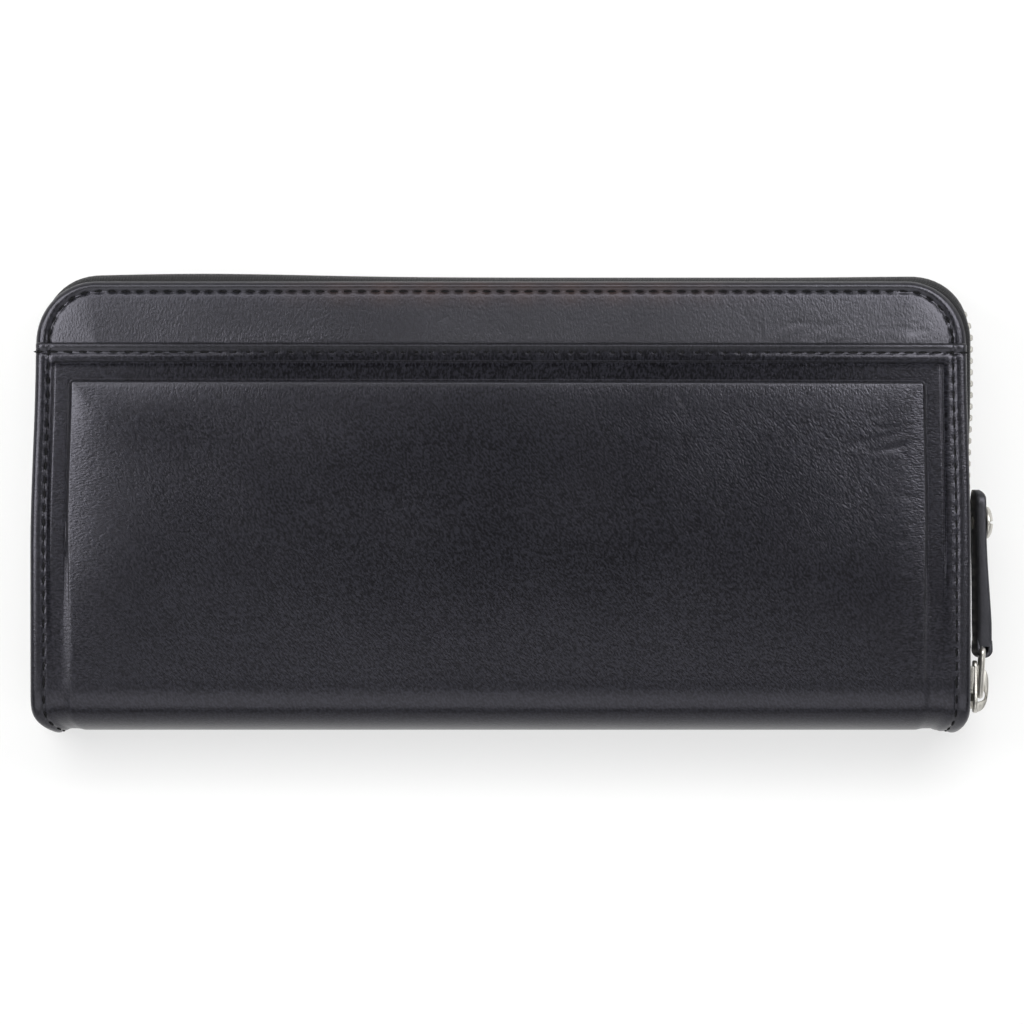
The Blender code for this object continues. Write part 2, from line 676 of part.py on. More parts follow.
def build_cards(side, base_z, direction, body):
    """A panel of stepped card slots on one cover; direction is the way that the slots face."""
    left, right = LEFT + CARD_SIDE, RIGHT - CARD_SIDE
    first = base_z + direction * SEAT
    levels = sorted((first, first + direction * CARD_BASE))
    outline = rectangle(left, INNER_Y, right, ZIP_SIDE_Y - CARD_TOP, CARD_CORNER)
    piece(f"{side}_card_panel", prism(outline, *levels), "inner_leather", body)
    slot_z = first + direction * (CARD_BASE + SEAT)
    for number in range(CARD_SLOTS):
        side_view = [(y, slot_z + direction * z) for y, z in card_slot(number)]
        sections = [[(x, y, z) for y, z in side_view] for x in (left, right)]
        piece(f"{side}_card_slot_{number + 1}", loft(sections), "inner_leather", body)


def gusset_section(end, y, fold, low, high):
    """A gusset cut across: a flap on each leaf, and one pleat between them folded inwards."""
    edge = RIGHT - COIN_SIDE
    bend = edge - GUSSET_FLAP
    path = [(edge, low), (bend, low), (edge - fold, (low + high) / 2), (bend, high), (edge, high)]
    return [(end * x, y, z) for x, z in strip(path, GUSSET)]


def build_gusset(name, end, low_z, high_z, body):
    """A gusset whose pleat deepens away from the spine; end is -1 at the left and 1 at the right."""
    low, high = low_z + SEAT + GUSSET / 2, high_z - SEAT - GUSSET / 2
    top_y = LOW_SLOT_Y - GUSSET_BELOW_MOUTH
    stations = ((INNER_Y, GUSSET_LOW_FOLD), (top_y, GUSSET_TOP_FOLD))
    shape = loft([gusset_section(end, y, fold, low, high) for y, fold in stations])
    piece(name, shape, "lining_cloth", body)


def build_gussets():
    front_low = FRONT_CARD_Z + CARD_STACK
    rear_high = REAR_CARD_Z - CARD_STACK
    rear_low = COIN_REAR_Z + COIN_LEATHER
    for side, end in (("left", -1), ("right", 1)):
        build_gusset(f"front_gusset_{side}", end, front_low, COIN_Z, "front_cover")
        build_gusset(f"rear_gusset_{side}", end, rear_low, rear_high, "rear_cover")


def build_coin_pocket():
    """Two leaves, and the wall sewn between them on three sides."""
    leaf = rectangle(COIN_LEFT, INNER_Y, COIN_RIGHT, COIN_TOP_Y, COIN_CORNER)
    for side, low in (("front", COIN_Z), ("rear", COIN_REAR_Z)):
        shape = prism(leaf, low, low + COIN_LEATHER)
        piece(f"coin_{side}_leaf", shape, "inner_leather", "coin_pocket")
    left, right = COIN_LEFT + COIN_WALL_INSET, COIN_RIGHT - COIN_WALL_INSET
    low, top = INNER_Y + COIN_WALL_INSET, COIN_TOP_Y - COIN_WALL_INSET
    wall = [
        (left, top), (left, low), (right, low), (right, top),
        (right - COIN_WALL, top), (right - COIN_WALL, low + COIN_WALL),
        (left + COIN_WALL, low + COIN_WALL), (left + COIN_WALL, top),
    ]
    shape = prism(wall, COIN_ROOM_Z + SEAT, COIN_REAR_Z - SEAT)
    piece("coin_pocket_wall", shape, "lining_cloth", "coin_pocket")


def build_coin_zip():
    """The coin pocket's two tapes, one on each leaf, and the two rows of teeth along their edges."""
    inset = COIN_WALL_INSET + COIN_WALL + SEAT
    tape = rectangle(
        COIN_LEFT + inset, COIN_TOP_Y - COIN_TAPE_HEIGHT,
        COIN_RIGHT - inset, COIN_TOP_Y + COIN_TAPE_SHOW,
    )
    first_x = COIN_SLIDER_X - COIN_SLIDER_LENGTH / 2 - CHAIN_FROM_SLIDER
    length = first_x - COIN_LEFT - COIN_END
    half = COIN_CHAIN_THICK / 2
    for side, sign in (("front", -1), ("rear", 1)):
        face_z = COIN_MIDDLE_Z + sign * (COIN_ROOM / 2 - SEAT)
        levels = sorted((face_z, face_z - sign * COIN_TAPE))
        piece(f"coin_{side}_tape", prism(tape, *levels), "zip_tape", "coin_pocket")
        bead_z = face_z - sign * COIN_BEAD
        marks, teeth = tooth_row(length, COIN_PITCH, COIN_TOOTH, 0.5 + sign * 0.25)
        corners = [(half, face_z), (half, bead_z), (-half, bead_z), (-half, face_z)]
        sections = [
            [(first_x - distance, COIN_CHAIN_Y + y, z) for y, z in corners] for distance in marks
        ]
        shape = comb(sections, teeth, Vector((0, 0, -sign * COIN_REACH)))
        piece(f"coin_{side}_teeth", shape, "nickel", "coin_pocket")


def slider_outline(length, tail_half, nose_half):
    """A slider plate in plan: narrow at the tail, flared and rounded at the nose, as (along, across)."""
    tail, nose, bend = length / 2, -length / 2, length * 0.08
    side = [
        *arc((nose + nose_half * 0.45, 0.55 * nose_half), nose_half * 0.45, 180, 90, 4),
        (bend, tail_half),
        *arc((tail - tail_half * 0.3, tail_half * 0.7), tail_half * 0.3, 90, 0, 3),
    ]
    return side + [(u, -v) for u, v in reversed(side)]


def bridge_outline(length, top, height, thickness):
    """The arch over a slider's plate that holds its pull, in side view as (along, outward)."""
    half = length / 2 - thickness / 2
    shoulder = min(height, half) * 0.55
    rise = top + height + thickness / 2
    path = [(half, top - thickness / 2), (half, rise - shoulder)]
    path += [(half - shoulder * 0.35, rise - shoulder * 0.3), (half - shoulder, rise)]
    return strip(path + [(-u, w) for u, w in reversed(path)], thickness)


def build_slider(name, axes, sizes):
    """A zip slider: two plates joined by a wedge at the nose, side walls round the chain, and a bridge."""
    length, plate_in, plate_out = sizes["length"], sizes["plate_in"], sizes["plate_out"]
    tail, nose, inner_half = sizes["tail"], sizes["nose"], sizes["inner_half"]
    wall, drop = sizes["wall"], sizes["drop"]
    bite = (plate_out - plate_in) / 3
    origin = PIVOTS[name][0]
    plate = slider_outline(length, tail, nose)

    def placed(outline, low, high, soften=0.0):
        return turned(prism(outline, low, high, soften, "high"), axes, origin)

    narrow = [(u, max(-inner_half, min(inner_half, v))) for u, v in plate]
    shapes = [placed(narrow, -plate_out, -plate_in)]
    wedge_low = -length / 2 + length * 0.08
    wedge_long, wedge_half = length * 0.36, nose * 0.27
    wedge_middle = wedge_low + wedge_long * 0.4
    wedge = [
        (wedge_low, 0), (wedge_middle, -wedge_half),
        (wedge_low + wedge_long, 0), (wedge_middle, wedge_half),
    ]
    shapes.append(placed(wedge, -plate_in - bite, plate_in + bite))
    for sign in (-1, 1):
        low, high = sorted((sign * (tail - wall), sign * tail))
        rail = rectangle(-length * 0.12, low, length / 2 - tail * 0.35, high)
        shapes.append(placed(rail, plate_in - drop, plate_in + bite))
        if inner_half >= tail:
            shapes.append(placed(rail, -plate_in - bite, -plate_in + drop))
    bridge_half = sizes["bridge_width"] / 2
    side_view = bridge_outline(
        sizes["bridge_length"], plate_out, sizes["bridge_room"], sizes["bridge_thick"],
    )
    along, across, outward = (Vector(axis) for axis in axes)
    bridge = prism(side_view, -bridge_half, bridge_half)
    shapes.append(turned(bridge, (along, outward, -across), origin))
    slider = piece(name, placed(plate, plate_in, plate_out, SOFT_EDGE), "nickel", name)
    combine(slider, name, [("UNION", shape) for shape in shapes])
    round_off(slider)


def build_main_slider():
    tail = MAIN_CHAIN_HALF + SLIDER_PLAY + SLIDER_WALL
    sizes = {
        "length": SLIDER_LENGTH, "plate_in": PLATE_IN, "plate_out": PLATE_OUT,
        "tail": tail, "nose": tail + SLIDER_FLARE, "inner_half": tail + SLIDER_FLARE,
        "wall": SLIDER_WALL, "drop": PLATE_IN - TAPE / 2 - SLIDER_PLAY,
        "bridge_length": SLIDER_LENGTH * 0.74, "bridge_room": WIRE + 2 * WIRE_PLAY,
        "bridge_thick": BRIDGE_THICK, "bridge_width": BRIDGE_WIDTH,
    }
    build_slider("zip_slider", ((0, 1, 0), (0, 0, 1), (1, 0, 0)), sizes)


def build_coin_slider():
    chain_half = COIN_ROOM / 2 - SEAT
    tail = chain_half + SLIDER_PLAY + SLIDER_WALL * 0.7
    sizes = {
        "length": COIN_SLIDER_LENGTH, "plate_in": COIN_PLATE_IN, "plate_out": COIN_PLATE_OUT,
        "tail": tail, "nose": tail + SLIDER_FLARE * 0.4,
        "inner_half": chain_half - COIN_TAPE - SLIDER_PLAY,
        "wall": SLIDER_WALL * 0.7, "drop": COIN_PLATE_IN * 0.4,
        "bridge_length": COIN_SLIDER_LENGTH * 0.7, "bridge_room": COIN_PULL_BAR * 1.42 + 2 * WIRE_PLAY,
        "bridge_thick": BRIDGE_THICK * 0.75, "bridge_width": BRIDGE_WIDTH * 0.6,
    }
    build_slider("coin_slider", ((-1, 0, 0), (0, 0, 1), (0, 1, 0)), sizes)


def build_ring():
    """An oval wire loop through the slider's bridge and the leather pull's fold."""
    half = RING_WIDTH / 2
    radius = half - PULL_NECK / 2 - SEAT
    low, high = 0.0, RING_LENGTH
    loop = [
        *arc((low + radius, half - radius), radius, 90, 180, 4),
        *arc((low + radius, radius - half), radius, 180, 270, 4),
        *arc((high - radius, radius - half), radius, 270, 360, 4),
        *arc((high - radius, half - radius), radius, 0, 90, 4),
    ]
    sides = 8
    sections = []
    count = len(loop)
    for i, (u, v) in enumerate(loop):
        before, after = Vector(loop[i - 1]), Vector(loop[(i + 1) % count])
        run = (after - before).normalized()
        out = Vector((run.y, -run.x))
        ring = []
        for k in range(sides):
            angle = 2 * math.pi * k / sides
            reach = WIRE / 2 * math.cos(angle)
            ring.append((u + out.x * reach, v + out.y * reach, WIRE / 2 * math.sin(angle)))
        sections.append(ring)
    shape = loft(sections, closed=True)
    outward = RING_DIRECTION.cross(Vector((0, 0, 1)))
    turned(shape, (RING_DIRECTION, Vector((0, 0, 1)), outward), RING_PIVOT)
    round_off(piece("pull_ring", shape, "nickel", "pull_ring"), 60)


def rivet_outline(half_stack, play):
    """Half of the rivet's section, as (radius, outward), grown by play for its seat in the leather."""
    shank, cap, rim = RIVET_SHANK / 2 + play, RIVET_CAP / 2 + play, RIVET_HEAD / 2 + play
    sunk = half_stack - RIVET_SINK - play
    foot = half_stack + SEAT - play
    brow = foot + RIVET_RIM
    angles = [math.radians(15 * i) for i in range(6)]
    dome = [(rim * math.cos(a), brow + RIVET_DOME * math.sin(a)) for a in angles]
    back = [(cap, -half_stack - 2 * play), (cap, -sunk), (shank, -sunk), (shank, foot), (rim, foot)]
    return [*back, *dome, (0, brow + RIVET_DOME)]


def revolve(outline, axes, origin, steps=20):
    """Turns a half section about its own outward axis into a closed solid."""
    shape = bmesh.new()
    points = [(0, outline[0][1]), *outline]
    verts = [shape.verts.new((radius, 0, height)) for radius, height in points]
    edges = [shape.edges.new(pair) for pair in zip(verts, verts[1:])]
    bmesh.ops.spin(
        shape, geom=verts + edges, axis=(0, 0, 1), cent=(0, 0, 0), angle=2 * math.pi, steps=steps,
    )
    bmesh.ops.remove_doubles(shape, verts=shape.verts, dist=1e-7)
    bmesh.ops.recalc_face_normals(shape, faces=shape.faces)
    return turned(shape, axes, origin)


def build_pull():
    """A leather strip folded round the ring and riveted to itself."""
    axes = along, across, outward = Vector((0, 1, 0)), Vector((0, 0, 1)), Vector((1, 0, 0))
    eye_radius = EYE + PULL_LEATHER / 2
    flat = PULL_LEATHER / 2 + SEAT / 2
    merge = eye_radius * 2.6
    end = PULL_LENGTH - eye_radius - PULL_LEATHER / 2
    loop = arc((0, 0), eye_radius, 60, 300, 10)
    path = [(end, flat), (merge, flat), *loop, (merge, -flat), (end, -flat)]
    strap = prism(strip(path, PULL_LEATHER), -PULL_WIDTH / 2, PULL_WIDTH / 2)
    turned(strap, (along, outward, -across), PULL_PIVOT)
    trim = 0.01 * PULL_WIDTH
    half, neck, round_end = PULL_WIDTH / 2 - trim, PULL_NECK / 2, PULL_WIDTH * 0.4
    face = [
        (-2 * eye_radius, -neck), (eye_radius, -neck), (merge * 1.6, -half),
        *arc((end - round_end, round_end - half), round_end, 270, 360, 4),
        *arc((end - round_end, half - round_end), round_end, 0, 90, 4),
        (merge * 1.6, half), (eye_radius, neck), (-2 * eye_radius, neck),
    ]
    outline = turned(prism(face, -4 * eye_radius, 4 * eye_radius), axes, PULL_PIVOT)
    half_stack = flat + PULL_LEATHER / 2
    rivet_at = PULL_PIVOT + along * (end - RIVET_FROM_END)
    seat = revolve(rivet_outline(half_stack, RIVET_PLAY), axes, rivet_at)
    pull = piece("pull_strap", strap, "black_leather", "pull_tab")
    combine(pull, "pull_tab", [("INTERSECT", outline), ("DIFFERENCE", seat)])
    rivet = revolve(rivet_outline(half_stack, 0.0), axes, rivet_at)
    round_off(piece("pull_rivet", rivet, "nickel", "pull_tab"))


def build_coin_pull():
    """A flat metal tab with a window; the window's end bar turns under the coin slider's bridge."""
    half, bar = COIN_PULL_WIDTH / 2, COIN_PULL_BAR
    window = COIN_SLIDER_LENGTH * 0.62
    arm = COIN_PULL_WIDTH * 0.2
    tab = rectangle(-bar / 2, -half, COIN_PULL_LENGTH, half, half * 0.6)
    hole = rectangle(bar / 2, arm - half, bar / 2 + window, half - arm)
    axes = ((-1, 0, 0), (0, 0, 1), (0, 1, 0))
    shape = turned(prism(tab, -bar / 2, bar / 2), axes, COIN_PULL_PIVOT)
    pull = piece("coin_pull", shape, "nickel", "coin_pull")
    cutter = turned(prism(hole, -2 * bar, 2 * bar), axes, COIN_PULL_PIVOT)
    combine(pull, "coin_pull", [("DIFFERENCE", cutter)])


def main():
    clear_scene()
    make_pivots()
    build_front_panel()
    build_rear_panels()
    build_spine()
    build_tape("front_zip_tape", FRONT_FLANGE_Z, 1, "front_cover")
    build_tape("rear_zip_tape", REAR_FLANGE_Z + TAPE, -1, "rear_cover")
    build_main_teeth("front_zip_teeth", -1, "front_cover")
    build_main_teeth("rear_zip_teeth", 1, "rear_cover")
    build_linings()
    build_cards("front", FRONT_CARD_Z, 1, "front_cover")
    build_cards("rear", REAR_CARD_Z, -1, "rear_cover")
    build_gussets()
    build_coin_pocket()
    build_coin_zip()
    build_main_slider()
    build_coin_slider()
    build_ring()
    build_pull()
    build_coin_pull()
    print(f"closed wallet: {WIDTH / MM:.1f} x {HEIGHT / MM:.1f} x {THICKNESS / MM:.2f} mm")


main()
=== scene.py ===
# %% [markdown]
# # A zip-around long wallet
# The CAD model gives every piece its place and its body. This lesson dresses that frame: black hide with
# its embossing, turned edges and stitches, a metal zip on woven tape, and the card slots and coin pocket
# inside. Each cell adds one kind of piece or finish. Sizes are in millimetres until a mesh is made.

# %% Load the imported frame
import json
import math

import bmesh
import bpy
import numpy as np
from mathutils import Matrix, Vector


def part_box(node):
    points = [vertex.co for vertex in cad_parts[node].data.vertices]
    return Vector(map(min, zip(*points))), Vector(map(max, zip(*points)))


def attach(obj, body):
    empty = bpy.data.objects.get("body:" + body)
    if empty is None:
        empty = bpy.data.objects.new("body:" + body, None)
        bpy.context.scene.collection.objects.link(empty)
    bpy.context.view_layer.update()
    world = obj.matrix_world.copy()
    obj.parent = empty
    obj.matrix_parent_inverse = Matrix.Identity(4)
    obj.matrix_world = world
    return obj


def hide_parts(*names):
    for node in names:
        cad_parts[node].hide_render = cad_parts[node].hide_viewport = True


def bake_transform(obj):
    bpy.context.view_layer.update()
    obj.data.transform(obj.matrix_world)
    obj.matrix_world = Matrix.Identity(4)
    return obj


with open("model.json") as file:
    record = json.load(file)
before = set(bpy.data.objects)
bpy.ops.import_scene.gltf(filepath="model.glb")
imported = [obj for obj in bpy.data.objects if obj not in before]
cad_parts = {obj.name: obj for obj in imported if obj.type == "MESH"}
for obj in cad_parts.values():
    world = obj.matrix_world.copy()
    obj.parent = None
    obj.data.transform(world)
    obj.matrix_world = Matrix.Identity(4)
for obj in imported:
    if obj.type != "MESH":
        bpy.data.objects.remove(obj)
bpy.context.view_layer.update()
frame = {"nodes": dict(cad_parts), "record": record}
MM = 0.001


# %% [markdown]
# ## Sizes
# The corners of the CAD nodes give most sizes, so that the dressed pieces stay where the solids are. What a
# box can't say, such as the width of the sunk channel, is a named value here.

# %% Read the frame's sizes
def box(node):
    """Lowest and highest corner of a CAD node, in millimetres."""
    return [np.array(corner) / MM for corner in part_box(node)]


yoke_low, yoke_high = box("rear_yoke")
panel_low, panel_high = box("rear_pocket_panel")
spine_low, spine_high = box("spine_hide")
LEFT, RIGHT, TOP = yoke_low[0], yoke_high[0], yoke_high[1]
MOUTH, THICK = panel_high[1], panel_high[2]
FOLD = (panel_low[1] + spine_high[1]) / 2
SPINE_DEPTH = FOLD - spine_low[1]
HALF = (RIGHT - LEFT) / 2
MIDDLE = THICK / 2
CORNER = 13.5
LEATHER = 1.1
BAND_LEFT, BAND_RIGHT, CHANNEL, HEM, FRONT_BAND = 3.9, 5.5, 4.1, 4.1, 5.5
RAISE, BAND_RAISE = 0.7, 0.35
FIELD_LEFT = LEFT + BAND_LEFT + CHANNEL
FIELD_RIGHT = RIGHT - BAND_RIGHT - CHANNEL
FIELD_TOP = MOUTH - HEM - CHANNEL
FRONT_FIELD_TOP = TOP - FRONT_BAND - CHANNEL
print(f"wallet {RIGHT - LEFT:.1f} x {TOP - spine_low[1]:.1f} x {THICK:.2f} mm, fold at y {FOLD:.2f}")


# %% [markdown]
# ## Nodes and colours
# Every material and every Geometry Nodes tree is written with the same small function: it adds a node, sets
# its properties, and fills each input with a value or a link. Colours are picked as sRGB hex, as on a
# screen, and one function turns them to the linear light that the shader works in.

# %% Add a node, turn a colour to linear
def add(tree, kind, inputs=None, **settings):
    """A node of that kind; inputs are values or sockets, by the input's name or number."""
    node = tree.nodes.new(kind)
    for key, value in settings.items():
        setattr(node, key, value)
    for key, value in (inputs or {}).items():
        if isinstance(value, bpy.types.NodeSocket):
            tree.links.new(value, node.inputs[key])
        else:
            node.inputs[key].default_value = value
    return node


def colour(code):
    """Linear RGBA of an sRGB hex colour."""
    parts = [int(code[i:i + 2], 16) / 255 for i in (1, 3, 5)]
    linear = [p / 12.92 if p <= 0.04045 else ((p + 0.055) / 1.055) ** 2.4 for p in parts]
    return (*linear, 1.0)


def start_material(name):
    """A new material with an empty tree."""
    material = bpy.data.materials.new(name)
    material.use_nodes = True
    material.node_tree.nodes.clear()
    return material, material.node_tree


def per_mm(size):
    """Texture scale at which a pattern repeats about every size millimetres."""
    return 1 / (size * MM)


def noise(tree, vector, size, detail):
    """A noise node with a spot about every size millimetres."""
    return add(tree, "ShaderNodeTexNoise", {"Vector": vector, "Scale": per_mm(size), "Detail": detail})


def maths(tree, operation, *values):
    """Result of a Math node."""
    return add(tree, "ShaderNodeMath", dict(enumerate(values)), operation=operation).outputs["Value"]


def ranged(tree, value, start, end=(0.0, 1.0), **settings):
    """A value carried over from its start range to its end range."""
    return add(tree, "ShaderNodeMapRange", {
        "Value": value, "From Min": start[0], "From Max": start[1], "To Min": end[0], "To Max": end[1],
    }, **settings).outputs["Result"]


def mixed(tree, share, first, second):
    """A colour between two, each a hex code or a link."""
    first, second = (colour(end) if isinstance(end, str) else end for end in (first, second))
    return add(tree, "ShaderNodeMix", {0: share, 6: first, 7: second}, data_type="RGBA").outputs[2]


def stored(tree, name):
    """A number that the mesh keeps for the material."""
    return add(tree, "ShaderNodeAttribute", attribute_name=name).outputs["Fac"]


def surfaced(tree, height, relief, depth, inputs):
    """Ends a material with a principled surface, whose relief has this depth in millimetres."""
    bump = add(tree, "ShaderNodeBump", {"Height": height, "Strength": relief, "Distance": depth * MM})
    surface = add(tree, "ShaderNodeBsdfPrincipled", {**inputs, "Normal": bump.outputs["Normal"]})
    add(tree, "ShaderNodeOutputMaterial", {"Surface": surface.outputs["BSDF"]})


print("black as linear light:", [round(c, 4) for c in colour("#1b1b1d")[:3]])


# %% [markdown]
# ## Leather
# The hide is chrome-tanned cowhide, black all through from its dye, and finished with wax. The eye gets a
# near-black body colour, a satin gloss that is a little uneven, and fine wrinkles under half a millimetre
# wide that open where the hide has been bent. They run away from a seam or edge, and slantwise elsewhere.
# Their colour is painted darker at the bottom and greyer on the ridges, a painted shade and highlight. The
# dye has a brown cast where it was burnished along a seam. The gloss is turned down at the foot of each
# step and over the middle of the hem and channel, a painted shade. All these places are stored on the mesh
# as attributes, since they follow the piece's own shape.

# %% Leather materials
def leather(name, dark, light, grain, rough, relief):
    """Waxed hide: grain and creases in relief; worn, burnished and painted shade where the mesh says so."""
    material, tree = start_material(name)
    place = add(tree, "ShaderNodeTexCoord").outputs["Object"]
    swayed = add(tree, "ShaderNodeVectorMath", {
        0: noise(tree, place, grain * 10, 0.0).outputs["Color"], 1: (grain * MM,) * 3, 2: place,
    }, operation="MULTIPLY_ADD").outputs[0]

    def streaks(angle, stretch, size, detail):
        """Noise drawn out along a direction in the hide's plane."""
        turned = add(tree, "ShaderNodeMapping", {
            "Vector": swayed, "Rotation": (0.0, 0.0, math.radians(angle)), "Scale": (stretch, 1.0, 1.0),
        }, vector_type="TEXTURE")
        return noise(tree, turned.outputs["Vector"], size, detail).outputs["Fac"]

    slanting, upright, level = (streaks(angle, 1.8, grain, 1.0) for angle in (-56, 90, 0))
    upward = add(tree, "ShaderNodeMix", {0: stored(tree, "near_top"), 2: slanting, 3: upright}).outputs[0]
    folds = add(tree, "ShaderNodeMix", {0: stored(tree, "near_side"), 2: upward, 3: level}).outputs[0]
    cloudy = noise(tree, place, 22.0, 3.0).outputs["Fac"]
    fine = noise(tree, place, grain * 3, 2.0).outputs["Fac"]
    depth = maths(tree, "ADD", ranged(tree, cloudy, (0.4, 0.62), (0.34, 0.64)), stored(tree, "loose"))
    drawn = streaks(-40, 2.2, grain * 6, 2.0)
    nearness = maths(tree, "ABSOLUTE", maths(tree, "SUBTRACT", drawn, 0.5))
    unlined = ranged(tree, nearness, (0.0, 0.05), (0.0, 0.35), interpolation_type="SMOOTHSTEP")
    wrinkled = maths(tree, "MULTIPLY_ADD", folds, 3.2, unlined)
    height = maths(tree, "MULTIPLY_ADD", wrinkled, depth, fine)
    # Painted shade and highlight: the colour is darker at the wrinkles' bottoms and greyer on their ridges.
    painted_wrinkle_shade = mixed(tree, ranged(tree, folds, (0.4, 0.62)), dark, light)
    rubbed = mixed(tree, stored(tree, "worn"), painted_wrinkle_shade, "#2c2c2e")
    surfaced(tree, height, relief, 0.05, {
        "Base Color": mixed(tree, stored(tree, "burnished"), rubbed, "#3a2a22"),
        "Roughness": ranged(tree, cloudy, (0.3, 0.7), (rough - 0.01, rough + 0.02)),
        "IOR": 1.5, "Specular Tint": colour("#f2f0ff"),
        # Painted shade: where the stored number is high the gloss is turned down, so the step feet and the
        # hem's middle read dark.
        "Specular IOR Level": ranged(tree, stored(tree, "dull"), (0.0, 1.0), (0.5, 0.04)),
    })
    return material


outer_leather = leather("waxed black cowhide", "#020203", "#1b1b20", 0.4, 0.3, 0.42)
inner_leather = leather("soft black goat hide", "#141416", "#1f1f21", 0.6, 0.48, 0.6)
# Painted light: the strap's leather is lighter than the covers' hide, standing in for the light on its face.
strap_leather = leather("black strap leather", "#2a2b2d", "#333436", 0.5, 0.38, 0.2)
print("leathers:", outer_leather.name, inner_leather.name, strap_leather.name)


# %% [markdown]
# ## Thread, cloth, tape, board and metal
# Black polyester thread is twisted, so it shows short slanting ribs. The lining is a twill of fine black
# yarn. The zip's tape is woven with ribs across it, finer than they could show, so they are drawn every 0.6
# mm. The board is pressed fibre, hidden inside the covers. The zip is nickel plate: bright, a little warm,
# and finely scuffed by use.

# %% Textile, board and metal materials
def woven(name, dark, light, across, along, rough, relief):
    """Cloth whose ribs follow its UV map, which is in millimetres."""
    material, tree = start_material(name)
    weave = add(tree, "ShaderNodeUVMap", uv_map="weave").outputs["UV"]
    ribs, picks = (add(tree, "ShaderNodeTexWave", {
        "Vector": weave, "Scale": math.pi / (10 * size), "Distortion": uneven, "Detail": 1.0,
    }, bands_direction=way).outputs["Fac"] for way, size, uneven in (("X", along, 0.6), ("Y", across, 0.4)))
    fuzz = add(tree, "ShaderNodeTexNoise", {"Vector": weave, "Scale": 2.2, "Detail": 3.0}).outputs["Fac"]
    height = maths(tree, "MULTIPLY_ADD", fuzz, 0.4, maths(tree, "MULTIPLY", ribs, picks))
    surfaced(tree, height, relief, 0.1, {
        "Base Color": mixed(tree, height, dark, light), "Roughness": rough,
        "Sheen Weight": 0.1, "Sheen Roughness": 0.4,
    })
    return material


def mottled(name, dark, light, size, rough, metallic, relief, sheen=0.5):
    """A finish with fine uneven spots: thread, pressed board or scuffed metal."""
    material, tree = start_material(name)
    place = add(tree, "ShaderNodeTexCoord").outputs["Object"]
    spots = noise(tree, place, size, 4.0).outputs["Fac"]
    scuffs = noise(tree, place, size * 6, 3.0).outputs["Fac"]
    surfaced(tree, spots, relief, 0.04, {
        "Base Color": mixed(tree, scuffs, dark, light),
        "Roughness": ranged(tree, spots, (0.3, 0.7), (rough * 0.8, rough * 1.25)),
        "Metallic": metallic, "Specular IOR Level": sheen,
    })
    return material


thread = mottled("black polyester thread", "#050506", "#0e0e10", 0.25, 0.7, 0.0, 0.6, 0.2)
board = mottled("pressed fibre board", "#4a463f", "#5d574d", 0.8, 0.85, 0.0, 0.5)
nickel = mottled("nickel-plated zinc", "#b9b6ae", "#d8d6d0", 0.5, 0.36, 1.0, 0.12)
lining_cloth = woven("black lining twill", "#0e0e10", "#1d1d20", 0.45, 0.45, 0.75, 0.5)
tape_cloth = woven("woven zip tape", "#09090b", "#151518", 0.5, 0.6, 0.75, 0.8)
print("finishes:", thread.name, board.name, nickel.name, lining_cloth.name, tape_cloth.name)


# %% [markdown]
# ## Making a mesh
# Points are worked out with numpy and given to Blender in one go. Points that meet are merged, so that
# every piece is closed, and the faces are turned outwards. A piece then rides on its body and stands for its
# CAD node, which is hidden.

# %% Mesh helpers
MEETING = 1e-7


def smooth(t):
    """0 to 1 with level ends."""
    t = np.clip(t, 0, 1)
    return t * t * (3 - 2 * t)


def bell(distance, width):
    """A rounded groove or ridge of that half width."""
    return np.exp(-(distance / width) ** 2)


def marks(start, *runs):
    """Numbers from start on, each run going to its end by its own step."""
    numbers = [start]
    for end, step in runs:
        count = max(1, round(abs(end - numbers[-1]) / step))
        numbers += list(np.linspace(numbers[-1], end, count + 1)[1:])
    return np.array(numbers)


def gathered(*parts):
    """Points from their coordinates, of which some may be one number for all."""
    return np.stack(np.broadcast_arrays(*parts), -1)


def unit(vectors):
    """Vectors brought to a length of 1."""
    return vectors / np.linalg.norm(vectors, axis=-1, keepdims=True)


def circle(angles):
    """Points of a circle of radius 1."""
    return gathered(np.cos(angles), np.sin(angles))


def tidy(bm):
    """Merges the points that meet, drops faces without area, and turns the rest outwards."""
    bmesh.ops.remove_doubles(bm, verts=bm.verts, dist=MEETING)
    bmesh.ops.dissolve_degenerate(bm, edges=bm.edges, dist=MEETING)
    bmesh.ops.recalc_face_normals(bm, faces=bm.faces)


def in_scene(name, data):
    """A new object in the scene."""
    obj = bpy.data.objects.new(name, data)
    bpy.context.scene.collection.objects.link(obj)
    return obj


def make_object(name, bm, material, sharp=38):
    """A shaded object from a bmesh, whose edges past the sharp angle stay crisp."""
    mesh = bpy.data.meshes.new(name)
    bm.to_mesh(mesh)
    bm.free()
    mesh.materials.append(material)
    mesh.shade_smooth()
    mesh.set_sharp_from_angle(angle=math.radians(sharp))
    return in_scene(name, mesh)


def bmesh_of(points, faces, weave=None):
    """A bmesh from points in millimetres; weave is a UV in millimetres for each point."""
    mesh = bpy.data.meshes.new("points")
    mesh.from_pydata((np.asarray(points) * MM).tolist(), [], [list(map(int, face)) for face in faces])
    if weave is not None:
        corners = np.empty(len(mesh.loops), int)
        mesh.loops.foreach_get("vertex_index", corners)
        layer = mesh.uv_layers.new(name="weave")
        layer.data.foreach_set("uv", np.asarray(weave, np.float32)[corners].ravel())
    bm = bmesh.new()
    bm.from_mesh(mesh)
    bpy.data.meshes.remove(mesh)
    return bm


def quads(rows, columns):
    """Faces of a grid of points, numbered row by row."""
    first = (np.arange(rows - 1)[:, None] * columns + np.arange(columns - 1)).ravel()
    return np.stack([first, first + columns, first + columns + 1, first + 1], 1)


